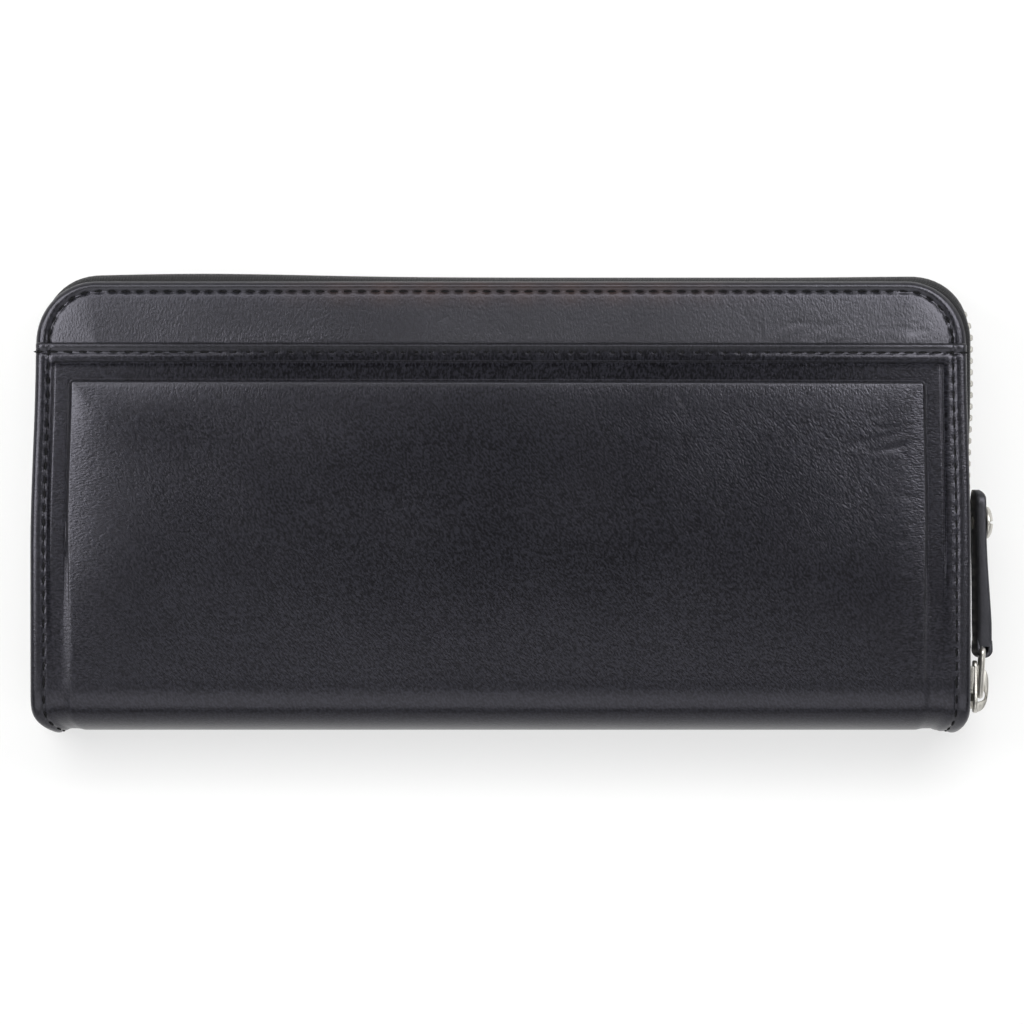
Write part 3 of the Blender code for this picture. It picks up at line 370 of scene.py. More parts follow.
def shell(outer, inner):
    """Points and faces of a closed shell between two grids."""
    rows, columns = outer.shape[:2]
    count = rows * columns
    ids = np.arange(count).reshape(rows, columns)
    border = np.concatenate([ids[0, :-1], ids[:-1, -1], ids[-1, :0:-1], ids[:0:-1, 0]])
    after = np.roll(border, -1)
    top = quads(rows, columns)
    rim = np.stack([border, after, after + count, border + count], 1)
    points = np.concatenate([outer.reshape(-1, 3), inner.reshape(-1, 3)])
    return points, np.concatenate([top, top[:, ::-1] + count, rim])


def walls(ids):
    """Faces between rows of point numbers, where each row is a closed ring."""
    after = np.roll(ids, -1, 1)
    return np.stack([ids[:-1], after[:-1], after[1:], ids[1:]], -1).reshape(-1, 4).tolist()


def lofted(rings):
    """A closed shape through rings of points, capped at both ends."""
    ids = np.arange(rings.shape[0] * rings.shape[1]).reshape(rings.shape[:2])
    return rings.reshape(-1, 3), ids[[0, -1]].tolist() + walls(ids)


def closed(name, shape, material, sharp=38, weave=None):
    """An object from a closed shape's points and faces."""
    bm = bmesh_of(*shape, weave)
    tidy(bm)
    return make_object(name, bm, material, sharp)


def dress(obj, body, slot, *nodes):
    """Puts a piece on its body and hides the CAD nodes that it stands for; slot is not used."""
    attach(obj, body)
    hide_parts(*nodes)
    return obj


def wear(obj, **places):
    """Stores a number from 0 to 1 on each point for the material, under each attribute's name."""
    for name, values in places.items():
        layer = obj.data.attributes.new(name, "FLOAT", "POINT")
        layer.data.foreach_set("value", np.asarray(values, np.float32))


def points_of(obj):
    """A mesh's points in millimetres."""
    flat = np.empty(len(obj.data.vertices) * 3)
    obj.data.vertices.foreach_get("co", flat)
    return flat.reshape(-1, 3) / MM


print("graded marks:", marks(0, (1, 0.25), (3, 1.0)))


# %% [markdown]
# ## The lie of the hide
# A cover is one sheet of hide, embossed with a sunk channel inside a turned border, and padded under its
# raised field. It could be sculpted, but its shape follows rules: each point's height depends on how far it
# lies from an edge, a step or a seam. So the height is a function of x and y, and the mesh has more points
# where the function is steep. Creases are short grooves at fixed random places, stronger where the hide is
# looser.

# %% Heights of the hide
EDGE_ROLL = 0.8
STEP_WIDTH = 0.6
SOFT_STEP = 2.4
SOFT_REACH = 38.0
WORN_FLAT = 0.55
CROWN = 1.25
CROWN_REACH = 11.0
FIELD_SET = 0.35
FIELD_CORNER = 0.6
STITCH = 3.05
SIDE_SEAM_LEFT, SIDE_SEAM_RIGHT, TOP_SEAM, HEM_SEAM = 2.9, 3.1, 2.15, 2.05
NARROW_LEFT, NARROW_RIGHT = 1.2, 0.9
rng = np.random.default_rng(7)


def inside(x, y, left, right, top, radius):
    """How far a point lies inside an outline with two round corners at its top."""
    across = np.abs(x - (left + right) / 2) - ((right - left) / 2 - radius)
    up = y - (top - radius)
    past = np.hypot(np.maximum(across, 0), np.maximum(up, 0))
    return radius - past - np.minimum(np.maximum(across, up), 0)


def roll(distance, radius):
    """How far a rounded edge has dropped at this distance from it."""
    reach = np.clip(1 - distance / radius, 0, 1)
    return radius * (1 - np.sqrt(1 - reach ** 2))


def toward_ends(x):
    """Two shares, which grow to 1 at the left end and at the right end."""
    return np.clip(-x / HALF, 0, 1) ** 3, np.clip(x / HALF, 0, 1) ** 3


def narrowed(x, y):
    """The covers narrow slightly towards the zip."""
    left, right = toward_ends(x)
    return x + smooth((y + 10) / 45) * (NARROW_LEFT * left - NARROW_RIGHT * right)


def scatter(count, x_range, y_range, angle, spread, length, depth):
    """Creases at random places: x, y, direction, half length, half width and depth."""
    return np.stack([
        rng.uniform(*x_range, count), rng.uniform(*y_range, count),
        np.radians(rng.normal(angle, spread, count)), rng.uniform(0.4, 1.0, count) * length,
        rng.uniform(0.35, 0.7, count), rng.uniform(0.3, 1.0, count) * depth,
    ], 1)


def creases(x, y, lines):
    """Depth of all the creases at each point."""
    depth = np.zeros_like(x)
    for cx, cy, turn, half_length, half_width, deep in lines:
        along = (x - cx) * math.cos(turn) + (y - cy) * math.sin(turn)
        near = np.abs(along) < 2.5 * half_length
        across = (y[near] - cy) * math.cos(turn) - (x[near] - cx) * math.sin(turn)
        bend = across - 0.05 * along[near] ** 2 / half_length
        depth[near] += deep * bell(along[near], half_length) * bell(bend, half_width)
    return depth


def embossed(x, y, field_top, channel_top):
    """Height over the channel's floor: the border band, the channel's two walls and the raised field."""
    worn_soft = smooth((FOLD + SOFT_REACH - y) / SOFT_REACH)
    width = STEP_WIDTH + (SOFT_STEP - STEP_WIDTH) * worn_soft
    field = inside(x, y, FIELD_LEFT, FIELD_RIGHT, field_top, FIELD_CORNER)
    channel = inside(x, y, LEFT + BAND_LEFT, RIGHT - BAND_RIGHT, channel_top, FIELD_CORNER)
    band = BAND_RAISE * smooth(0.5 - channel / width)
    block = RAISE * smooth(0.5 + field / width)
    pressed = 0.11 * bell(field + 0.33, 0.2) + 0.05 * bell(channel - 0.35, 0.22)
    left_over = 1 - WORN_FLAT * worn_soft
    return RAISE - (RAISE - band - block) * left_over - pressed * (1 - worn_soft), field


def pull(run):
    """How hard the thread pulls the hide down along a seam: most at the middle of each stitch."""
    return 0.7 + 0.3 * np.cos(2 * np.pi * run / STITCH)


def side_seams(x, y):
    """The turned edge's ridge and the groove that its stitches pull, down both sides of a cover."""
    height = np.zeros_like(x)
    for distance, seam in ((x - LEFT, SIDE_SEAM_LEFT), (RIGHT - x, SIDE_SEAM_RIGHT)):
        ridge = 0.32 * np.sin(np.pi * np.clip(distance / seam, 0, 1))
        groove = 0.3 * pull(MOUTH - HEM_SEAM - y) * bell(distance - seam, 0.45)
        height += ridge - groove - roll(distance, EDGE_ROLL)
    return height


field_creases = np.concatenate([
    scatter(90, (30, 92), (-12, 26), 120, 25, 3.0, 0.035),
    scatter(9, (76, 91), (12, 20), 14, 8, 5.0, 0.1),
    scatter(40, (70, 92), (-25, 12), 5, 14, 3.5, 0.04),
    scatter(60, (-93, 30), (-30, 26), 100, 50, 2.6, 0.02),
])
yoke_creases = np.concatenate([
    scatter(40, (60, 94), (35, 42), 4, 12, 3.5, 0.035),
    scatter(50, (-30, 60), (35, 44), 92, 20, 2.4, 0.03),
])
print(len(field_creases), "creases on the field,", len(yoke_creases), "on the yoke")


# %% [markdown]
# ## Covers
# A rectangle of quads carries the embossing, and a border strip runs from it to the real outline, fanning
# round the two corners. The strip's last points sit close together, where the turned edge rolls over. Under
# the sheet the edge is drawn down in steps and closed with one flat face, because the back of the hide
# isn't seen.

# %% Build a cover sheet
RIM = EDGE_ROLL * (1 - np.cos(np.radians([0, 14, 28, 42, 56, 72, 90])))
SPREAD_DOWN, SPREAD_IN, UNDER_REACH = 16.0, 14.0, 5.0


def unmoved(x, y):
    """No shift: most sheets lie square."""
    return np.zeros_like(x)


def cover_sheet(name, xs, ys, top, radius, height, stages, strip_rows=10, fan=18, shift=unmoved):
    """A sheet of hide: grid xs by ys, then a strip out to the outline; stages close its underside."""
    grid_x, grid_y = np.meshgrid(xs, ys)
    kept = ys[-1] - SPREAD_DOWN
    lift = (top - radius - kept) / (ys[-1] - kept)
    side_y = np.where(ys > kept, kept + (ys - kept) * lift, ys)
    low, high = xs[0] + SPREAD_IN, xs[-1] - SPREAD_IN
    top_x = np.interp(xs, [xs[0], low, high, xs[-1]], [LEFT + radius, low, high, RIGHT - radius])
    turn = np.radians(np.linspace(180, 90, fan + 1)[1:-1])
    arc = circle(turn) * radius
    left_arc = arc + (LEFT + radius, top - radius)
    right_arc = (arc * (-1, 1) + (RIGHT - radius, top - radius))[::-1]
    inner_path = np.concatenate([
        gathered(xs[0], ys), np.tile((xs[0], ys[-1]), (fan - 1, 1)), gathered(xs, ys[-1]),
        np.tile((xs[-1], ys[-1]), (fan - 1, 1)), gathered(xs[-1], ys)[::-1],
    ])
    outer_path = np.concatenate([
        gathered(LEFT, side_y), left_arc, gathered(top_x, top), right_arc, gathered(RIGHT, side_y)[::-1],
    ])
    run = inner_path - outer_path
    width = np.linalg.norm(run, axis=1)
    rim = RIM[None] * np.minimum(1, 0.6 * width / EDGE_ROLL)[:, None]
    spread = np.linspace(0, 1, strip_rows + 1)[1:]
    depth = np.concatenate([rim, rim[:, -1:] + (width[:, None] - rim[:, -1:]) * spread], 1)
    strip = outer_path[:, None] + run[:, None] * (depth / width[:, None])[..., None]
    flat_points = np.concatenate([np.stack([grid_x, grid_y], -1).reshape(-1, 2), strip.reshape(-1, 2)])
    x, y = flat_points.T
    points = np.stack([narrowed(x, y), y + shift(x, y), height(x, y)], 1)
    faces = np.concatenate([quads(*grid_x.shape), quads(*strip.shape[:2]) + grid_x.size])
    bm = bmesh_of(points, faces)
    bmesh.ops.remove_doubles(bm, verts=bm.verts, dist=MEETING)
    edge = [e for e in bm.edges if e.is_boundary]
    for inset, level in stages:
        grown = bmesh.ops.extrude_edge_only(bm, edges=edge)["geom"]
        edge = [g for g in grown if isinstance(g, bmesh.types.BMEdge)]
        for vert in (g for g in grown if isinstance(g, bmesh.types.BMVert)):
            px, py = vert.co.x / MM, vert.co.y / MM
            way = np.array([
                np.clip(px, LEFT + UNDER_REACH, RIGHT - UNDER_REACH),
                np.clip(py, ys[0] + UNDER_REACH, top - UNDER_REACH),
            ]) - (px, py)
            px, py = (px, py) + way / max(np.linalg.norm(way), 1e-9) * inset
            vert.co = (px * MM, py * MM, level(px, py) * MM)
    bmesh.ops.edgeloop_fill(bm, edges=edge)
    tidy(bm)
    obj = make_object(name, bm, outer_leather)
    print(f"{name}: {len(obj.data.polygons)} faces")
    return obj


# %% [markdown]
# ## Rear pocket panel
# The panel in the middle of the photographed side is a pocket: its upper edge is a turned hem, free along
# the yoke, and its raised field swells a little over its board and rolls over into the spine. The border
# and hem lie higher than the sunk channel round the field.

# %% Rear pocket panel
GROUND = THICK - RAISE
TAPE_REST = 23.4
UNDER_PANEL = 25.3
DROOP, DROOP_START = 0.95, -10.0


def droop(y):
    """The rear face starts to bend before it reaches the fold."""
    return DROOP * np.clip((DROOP_START - y) / (DROOP_START - FOLD), 0, 1) ** 2


def pillow(x, y):
    """The padded field's swelling: steep at its edges, level at the middle and at the fold."""
    side = np.maximum(np.minimum(x - FIELD_LEFT, FIELD_RIGHT - x), 0)
    up = np.maximum(FIELD_TOP - y, 0)
    inward = side * up / np.maximum(np.hypot(side, up), 1e-6)
    fuller = 1 + 0.3 * smooth((np.abs(x) - 50) / 35) * smooth((y - 8) / 15)
    fuller = fuller + 0.35 * smooth((-x - 55) / 25) * smooth((y - 12) / 12)
    return (CROWN * fuller * (1 - np.exp(-inward / CROWN_REACH)) - FIELD_SET) * smooth((y - FOLD) / 34)


def askew(x, y):
    """The hem was sewn slightly high, more so at the left, and the field's upper edge follows in part."""
    slant = x / HALF
    field_shift, hem_shift = 0.25 - 0.2 * slant, 0.58 - 0.1 * slant
    past_field = smooth((y - FIELD_TOP - 0.5) / 3)
    return (field_shift + (hem_shift - field_shift) * past_field) * smooth((y - FIELD_TOP + 8) / 8)


def panel_height(x, y):
    """Height of the rear pocket panel's outer face."""
    height, field = embossed(x, y, FIELD_TOP, MOUTH - HEM)
    down = MOUTH - y
    hole = 0.14 * (0.5 + 0.5 * np.cos(2 * np.pi * x / STITCH)) ** 3 * bell(down - HEM_SEAM, 0.3)
    sunk = (0.03 + 0.27 * smooth((np.abs(x) - 45) / 30)) * bell(down - HEM_SEAM, 0.55)
    hem = 0.04 * np.sin(np.pi * np.clip(down / HEM, 0, 1)) - sunk - hole
    swollen = pillow(x, y) * smooth(0.5 + field / STEP_WIDTH)
    crease = creases(x, y, field_creases) * smooth(field / 2.0)
    return GROUND + height + side_seams(x, y) + hem - roll(down, 0.7) + swollen - crease - droop(y)


WALL_REACH, WALL_STEP = 0.8, 0.13


def around(centre, reach=WALL_REACH):
    """Two runs for marks(): up to a step in the hide, then closely across it."""
    return (centre - reach, 0.6), (centre + reach, WALL_STEP)


def embossed_xs(cell, step):
    """Marks across a cover, close together at the four walls of its channels."""
    return marks(
        LEFT + BAND_LEFT - WALL_REACH, (LEFT + BAND_LEFT + WALL_REACH, step), *around(FIELD_LEFT),
        (FIELD_RIGHT - WALL_REACH, cell), (FIELD_RIGHT + WALL_REACH, step), *around(RIGHT - BAND_RIGHT),
    )


def embossed_ys(field_top, cell, step, *band):
    """Marks up a cover from the fold, close together at the walls of its channel."""
    return marks(FOLD, (field_top - WALL_REACH, cell), (field_top + WALL_REACH, step), *band)


panel_xs = embossed_xs(0.46, WALL_STEP)
panel_ys = embossed_ys(FIELD_TOP, 0.52, WALL_STEP, *around(MOUTH - HEM))


def panel_wall(x, y):
    """How low the panel's edge reaches: onto the tape at the sides, onto the yoke at the mouth."""
    at_mouth = y > MOUTH - 0.6
    return UNDER_PANEL if at_mouth or y < FOLD + 0.2 else TAPE_REST


panel = cover_sheet(
    "pocket_panel", panel_xs, panel_ys, MOUTH, 0.6, panel_height,
    [(0.0, panel_wall), (1.2, panel_wall), (0.1, lambda x, y: UNDER_PANEL)],
    strip_rows=9, fan=4, shift=askew,
)
x, y = points_of(panel)[:, :2].T
worn_hem = bell(MOUTH - 0.5 - y, 0.8) + 0.6 * bell(np.minimum(x - LEFT, RIGHT - x) - 1.2, 0.9)
on_field = inside(x, y, FIELD_LEFT, FIELD_RIGHT, FIELD_TOP, FIELD_CORNER)
field_edge = bell(on_field - 0.3, 0.35)
border = inside(x, y, LEFT + BAND_LEFT, RIGHT - BAND_RIGHT, MOUTH - HEM, FIELD_CORNER)
# Painted shade: a dark line at the foot of the border's step, fading towards the fold.
painted_step_shade = 0.9 * bell(border, 0.6) * smooth((y - FOLD - 2) / 30)
# Painted shade: the hem and the channel above the field are darker away from the two ends.
painted_hem_shade = 0.5 * smooth((92 - np.abs(x)) / 25) * smooth((y - FIELD_TOP - 0.2) / 0.8)
bent = smooth((x + 10) / 70) * smooth((y + 30) / 35) * (0.25 + 0.75 * smooth(on_field))
wear(
    panel, worn=np.clip(0.5 * worn_hem + 0.5 * field_edge, 0, 1), dull=np.maximum(painted_step_shade, painted_hem_shade),
    near_top=smooth(1 - (FIELD_TOP - y) / 9),
    near_side=smooth(1 - (x - FIELD_LEFT) / 22) + smooth(1 - (FIELD_RIGHT - x) / 16),
    loose=0.12 + 0.2 * smooth(on_field) + 0.4 * bent,
)
dress(panel, "rear_cover", "outer_leather", "rear_pocket_panel")


# %% [markdown]
# ## Yoke
# The strip above the pocket is thinner hide, sewn down round the corners with its edge turned under. It
# slopes towards the zip, so it catches the light that the flat field doesn't.

# %% Rear yoke
YOKE_FALL, YOKE_RUN, YOKE_RISE = 1.43, 13.5, 0.45
YOKE_UNDER = 24.0
SEAM_ROUND = 11.0


def corner_turn(x, y):
    """How far a point lies past its corner's centre, outwards and upwards, and its angle there."""
    outward = np.abs(x - (LEFT + RIGHT) / 2) - (HALF - CORNER)
    upward = y - (TOP - CORNER)
    return outward, upward, np.arctan2(np.maximum(upward, 0), np.maximum(outward, 1e-6))


def seam_depth(x, y):
    """Distance of the perimeter seam from the edge: wider at the sides than along the zip."""
    side = np.where(x < 0, SIDE_SEAM_LEFT, SIDE_SEAM_RIGHT)
    return side + (TOP_SEAM - side) * smooth(corner_turn(x, y)[2] / (np.pi / 2))


def seam_run(x, y):
    """Length along the perimeter seam from the middle of the zip side."""
    outward, upward, turn = corner_turn(x, y)
    along = np.minimum(outward, 0) + HALF - CORNER
    return along + SEAM_ROUND * (np.pi / 2 - turn) + np.maximum(-upward, 0)


def turned_edge(x, y):
    """The ridge of a turned edge and the groove of its seam, round a cover's outline."""
    distance = inside(x, y, LEFT, RIGHT, TOP, CORNER)
    seam = seam_depth(x, y)
    groove = 0.3 * pull(seam_run(x, y)) * bell(distance - seam, 0.45)
    ridge = 0.36 * np.sin(np.pi * np.clip(distance / seam, 0, 1)) - groove
    swell = 0.2 * (1 - np.exp(-np.maximum(distance - seam, 0) / 1.6))
    return ridge + swell - roll(distance, EDGE_ROLL)


def yoke_height(x, y):
    """Height of the yoke's outer face, falling away to the zip side and the two corners."""
    distance = inside(x, y, LEFT, RIGHT, TOP, CORNER)
    corner = smooth((30 - y + MOUTH - x - HALF) / 25)
    fall = YOKE_FALL * (1 - 0.25 * corner) * (1 - np.clip(distance / YOKE_RUN, 0, 1))
    crease = creases(x, y, yoke_creases) * smooth(distance / 5 - 0.8)
    return yoke_high[2] + YOKE_RISE - fall + turned_edge(x, y) - crease


def yoke_wall(x, y):
    """How low the yoke's edge reaches: onto the tape round the outside, and not under the pocket."""
    return TAPE_REST if y > yoke_low[1] + 2.5 else YOKE_UNDER


yoke_xs = marks(LEFT + BAND_LEFT, (RIGHT - BAND_RIGHT, 0.4))
yoke_ys = marks(yoke_low[1], (MOUTH - 0.5, 1.2), (TOP - FRONT_BAND, 0.36))
yoke = cover_sheet(
    "yoke", yoke_xs, yoke_ys, TOP, CORNER, yoke_height,
    [(0.1, yoke_wall), (1.2, yoke_wall), (0.1, lambda x, y: YOKE_UNDER)], strip_rows=14,
)
x, y = points_of(yoke)[:, :2].T
edge = inside(x, y, LEFT, RIGHT, TOP, CORNER)
handled = (0.3 + 0.35 * smooth((x + 50) / 60)) * smooth((edge - 2.5) / 4)
middle = smooth((x + 60) / 40) * smooth((70 - x) / 50)
wrinkled = smooth((x + 66) / 8) * smooth((-34 - x) / 8) * smooth((40 - y) / 4)
wear(
    yoke, worn=np.clip(0.7 * bell(edge - 1.1, 0.8) + handled, 0, 1),
    burnished=0.5 * middle * smooth((y - 42) / 5) * (0.5 + 0.5 * np.sin(x * 0.31) ** 2),
    near_top=np.ones_like(x), loose=0.12 + 0.2 * smooth((x - 40) / 40) + 0.6 * wrinkled,
)
dress(yoke, "rear_cover", "outer_leather", "rear_yoke")


# %% [markdown]
# ## Front cover
# The front has the same embossing without the pocket. The wallet rests on its field, so the field stays
# flat there and only its edges rise.

# %% Front cover
def front_height(x, y):
    """Height of the front cover's outer face, which looks down."""
    height, field = embossed(x, y, FRONT_FIELD_TOP, TOP - FRONT_BAND)
    crease = creases(x, -y, field_creases) * smooth(field / 2.0)
    return np.maximum(RAISE - height - turned_edge(x, y) + 0.5 * crease, 0.0)


FRONT_CELL, FRONT_STEP = 0.85, 0.16
front_xs = embossed_xs(FRONT_CELL, FRONT_STEP)
front_ys = embossed_ys(FRONT_FIELD_TOP, FRONT_CELL, FRONT_STEP, *around(TOP - FRONT_BAND, 0.4))
FRONT_INSIDE = 1.8
front = cover_sheet(
    "front_cover_hide", front_xs, front_ys, TOP, CORNER, front_height,
    [(0.05, lambda x, y: FRONT_INSIDE - 0.15), (0.2, lambda x, y: FRONT_INSIDE)],
)
x, y = points_of(front)[:, :2].T
wear(front, worn=np.clip(0.6 * bell(inside(x, y, LEFT, RIGHT, TOP, CORNER) - 1.1, 0.9), 0, 1))
dress(front, "front_cover", "outer_leather", "front_outer_panel")


# %% [markdown]
# ## Spine
# The hide runs round the spine in one piece. When the wallet opens it bends twice, once with each
# compartment, and a piece can bend across one joint only. So it is made in two halves that meet at the
# middle. The lower half is cut back beside the slider, which it swings past.

# %% Spine hide, in two halves
TUCK_LEFT, TUCK_RIGHT, SLIDER_ROOM = 4.8, 2.4, 2.0
FULL_BEND = 2.35
SAG_RUN = 2 * DROOP / (DROOP_START - FOLD) * SPINE_DEPTH
SPINE_ROWS = 26
SPINE_INSIDE = RAISE + LEATHER
spine_xs = np.concatenate([
    LEFT + RIM, marks(LEFT + EDGE_ROLL, (panel_xs[0], 0.3))[1:-1], panel_xs,
    marks(panel_xs[-1], (RIGHT - EDGE_ROLL, 0.3))[1:], (RIGHT - RIM[:-1])[::-1],
])


def spine_point(x, angle, depth):
    """Points round the spine: x along it, angle from the fold's middle, depth over or under its oval."""
    turn = np.cos(angle)
    share = np.clip(np.abs(x) / HALF, 0, 1) ** 6
    room = SLIDER_ROOM * smooth((-angle - 0.07) / 0.17) * (1 - smooth((-angle - 0.66) / 0.44))
    tuck = np.where(x < 0, TUCK_LEFT * turn ** 7, -TUCK_RIGHT * turn ** 8 - room)
    sag = np.where(angle > 0, (1 - turn) ** 2 * (DROOP + (2 * DROOP + SAG_RUN) * turn), 0)
    y = FOLD - (SPINE_DEPTH + depth) * turn
    rise = np.where(angle > 0, (1 - np.clip(turn, 0, 1) ** FULL_BEND) ** (1 / FULL_BEND), np.sin(angle))
    z = MIDDLE + (MIDDLE + depth) * rise - sag
    return np.stack([x + tuck * share, y, z], -1)


def spine_face(x, angle):
    """Height of the hide over the spine's oval, where the bands stand proud."""
    start = panel_height(x, np.full_like(x, FOLD)) - THICK + DROOP
    channel = np.minimum(x - LEFT - BAND_LEFT, RIGHT - BAND_RIGHT - x)
    return start + 0.45 * smooth(0.5 - channel / SOFT_STEP) * np.cos(angle) ** 2


def spine_half(name, start, end, bodies, node):
    """One half of the spine's hide, from one angle to the other."""
    angles = np.radians(np.linspace(start, end, SPINE_ROWS + 1))
    grid_x, grid_angle = np.meshgrid(spine_xs, angles)
    outer = spine_point(grid_x, grid_angle, spine_face(grid_x, grid_angle))
    inner_x = np.clip(grid_x, LEFT + 0.3, RIGHT - 0.3)
    inner = spine_point(inner_x, grid_angle, np.full(grid_x.shape, -SPINE_INSIDE))
    obj = closed(name, shell(outer, inner), outer_leather)
    bend(obj, start, end, bodies, "outer_leather", node)
    return obj


def bend(obj, start, end, bodies, slot, *nodes):
    """Bakes a piece's place into its mesh and hides the CAD nodes it stands for; bodies is not used."""
    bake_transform(obj)
    if nodes:
        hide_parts(*nodes)


LOWER, UPPER = ("front_cover", "coin_pocket"), ("coin_pocket", "rear_cover")
for name, start, end, bodies in (("spine_lower", -90, 0, LOWER), ("spine_upper", 0, 90, UPPER)):
    half = spine_half(name, start, end, bodies, "spine_hide")
    x = points_of(half)[:, 0]
    wear(half, worn=0.35 * bell(np.minimum(x - LEFT, RIGHT - x) - 1.5, 1.2))
    print(name, len(half.data.polygons), "faces")


# %% [markdown]
# ## Soft sheets
# Linings, card slots, gussets and tapes are sheets of one thickness. Each is described by a grid of points
# on its middle surface. One function gives the grid its thickness and rounds its four edges.

# %% Give a sheet its thickness
RIM_TURN = np.radians([0, 30, 60])
SHEET_STEP = 4.0


def with_rim(grid, radius):
    """The grid with three more rows close to its first and last row."""
    def near(edge, following):
        run = following - edge
        length = np.maximum(np.linalg.norm(run, axis=-1, keepdims=True), 1e-6)
        shares = [np.minimum(radius * (1 - math.cos(t)) / length, 0.8) for t in (*RIM_TURN, math.pi / 2)]
        return [edge + run * share for share in shares]

    first, last = near(grid[0], grid[1]), near(grid[-1], grid[-2])
    return np.concatenate([first, grid[1:-1], last[::-1]])


def fullness(count, edge, half):
    """Share of the thickness at each row of a rimmed grid."""
    rise = np.maximum((half - edge + edge * np.sin(RIM_TURN)) / half, 0.06)
    return np.concatenate([rise, np.ones(count - 2 * len(rise)), rise[::-1]])


def sheet(name, grid, thickness, material, edge=None):
    """A closed sheet with round edges about a grid of points, with a UV in millimetres."""
    half = thickness / 2
    edge = edge or half
    grid = with_rim(np.asarray(grid, float), edge)
    grid = with_rim(grid.swapaxes(0, 1), edge).swapaxes(0, 1)
    normal = np.cross(np.gradient(grid, axis=0), np.gradient(grid, axis=1))
    normal /= np.maximum(np.linalg.norm(normal, axis=-1, keepdims=True), 1e-12)
    full = fullness(grid.shape[0], edge, half)[:, None] * fullness(grid.shape[1], edge, half)
    offset = normal * (full * half)[..., None]
    along = np.linalg.norm(np.diff(grid, axis=0, prepend=grid[:1]), axis=-1).cumsum(0)
    across = np.linalg.norm(np.diff(grid, axis=1, prepend=grid[:, :1]), axis=-1).cumsum(1)
    weave = np.stack([along, across], -1).reshape(-1, 2)
    return closed(name, shell(grid + offset, grid - offset), material, 50, np.concatenate([weave, weave]))


def plain_sheet(name, node, body, material, slot):
    """A flat sheet in the place of a flat CAD node."""
    low, high = box(node)
    x, y = np.meshgrid(*(marks(low[axis], (high[axis], SHEET_STEP)) for axis in (0, 1)))
    grid = gathered(x, y, (low[2] + high[2]) / 2)
    return dress(sheet(name, grid, high[2] - low[2], material), body, slot, node)


print("a sheet's edge has", len(RIM_TURN), "extra rows")


# %% [markdown]
# ## Linings
# Cloth faces the inside of each cover and the back of the slip pocket. Its outline follows the zip, so the
# grid's rows draw in at the two round corners.

# %% Linings
def lining(name, node, body):
    """A cover's lining cloth, its rows narrowed where the corners are round."""
    low, high = box(node)
    radius = CORNER - 2
    ys = marks(low[1], (high[1] - radius, 4.0), (high[1], 0.8))
    grid = []
    for y in ys:
        up = max(0.0, y - (high[1] - radius)) / radius
        drawn = radius * (1 - math.sqrt(max(0.0, 1 - up * up)))
        xs = np.linspace(low[0] + drawn, high[0] - drawn, 40)
        grid.append(gathered(xs, y, (low[2] + high[2]) / 2))
    return dress(sheet(name, grid, high[2] - low[2], lining_cloth), body, "lining_cloth", node)


lining("front_cover_lining", "front_lining", "front_cover")
lining("rear_cover_lining", "rear_lining", "rear_cover")
lining("pocket_lining", "slip_pocket_lining", "rear_cover")


def spine_cloth(name, start, end, bodies):
    """Half of the cloth inside the spine, curved round it under its half of the hide."""
    low, high = box("spine_lining")
    depth = -(SPINE_INSIDE + 0.4)
    angles = np.radians(np.linspace(start, end, 14))
    grid_x, grid_angle = np.meshgrid(np.linspace(low[0], high[0], 40), angles)
    obj = sheet(name, spine_point(grid_x, grid_angle, np.full(grid_x.shape, depth)), 0.3, lining_cloth)
    bend(obj, 90 * np.sign(start), 90 * np.sign(end), bodies, "lining_cloth", "spine_lining")


spine_cloth("spine_cloth_lower", -86, 0, LOWER)
spine_cloth("spine_cloth_upper", 0, 86, UPPER)
print("linings made")


# %% [markdown]
# ## Card slots
# Each cover's inside carries a panel of four stepped slots. A slot lies flat on the panel, jogs up over the
# slot behind it and ends in a lip. The side view is drawn as a line through those levels, and the sheet is
# as wide as the panel.

# %% Card panels and slots
CARD_LEATHER, CARD_GAP, CARD_LIP, CARD_JOG = 0.6, 0.25, 5.0, 1.5
CARD_SEAM, FIRST_SHOWS, OTHERS_SHOW = 2.0, 40.0, 10.5


def slot_line(low_y, mouth, base, facing):
    """A slot's side view on its middle: y and z from its foot to its mouth."""
    jog = mouth - CARD_LIP
    ys = marks(low_y, (jog - CARD_JOG - 1, 4.0), (jog + 1, 0.25), (mouth - 0.6, 1.0), (mouth, 0.3))
    lift = (CARD_LEATHER + CARD_GAP) * smooth((ys - (jog - CARD_JOG)) / CARD_JOG)
    crease = 0.12 * bell(ys - (mouth - 1.6), 0.35)
    return ys, base + facing * (lift - crease)


card_stitches = {"front_cover": [], "rear_cover": []}
for side, facing in (("front", 1), ("rear", -1)):
    body = f"{side}_cover"
    plain_sheet(f"{side}_card_base", f"{side}_card_panel", body, inner_leather, "inner_leather")
    for number in range(1, 5):
        node = f"{side}_card_slot_{number}"
        low, high = box(node)
        level = (low[2] if facing > 0 else high[2]) + facing * CARD_LEATHER / 2
        ys, zs = slot_line(low[1], high[1], level, facing)
        xs = marks(low[0], (high[0], 6.0))
        grid = [gathered(xs, y, z) for y, z in zip(ys, zs)]
        pocket = sheet(f"{side}_card_pocket_{number}", grid, CARD_LEATHER, inner_leather)
        dress(pocket, body, "inner_leather", node)
        shown = ys > high[1] - (OTHERS_SHOW if number > 1 else FIRST_SHOWS)
        for x in (low[0] + CARD_SEAM, 0.0, high[0] - CARD_SEAM):
            row = gathered(x, ys, zs + facing * CARD_LEATHER / 2)[shown]
            card_stitches[body].append(row)
    print(side, "slots made")


# %% [markdown]
# ## Gussets
# A folded cloth web at each end stops a compartment from falling open. It has a flap on each leaf and one
# pleat between them, which is deepest at the open end.

# %% Gussets
GUSSET_FOOT, GUSSET_FLAP, PLEAT_SHARE = 6.0, 3.0, 0.8


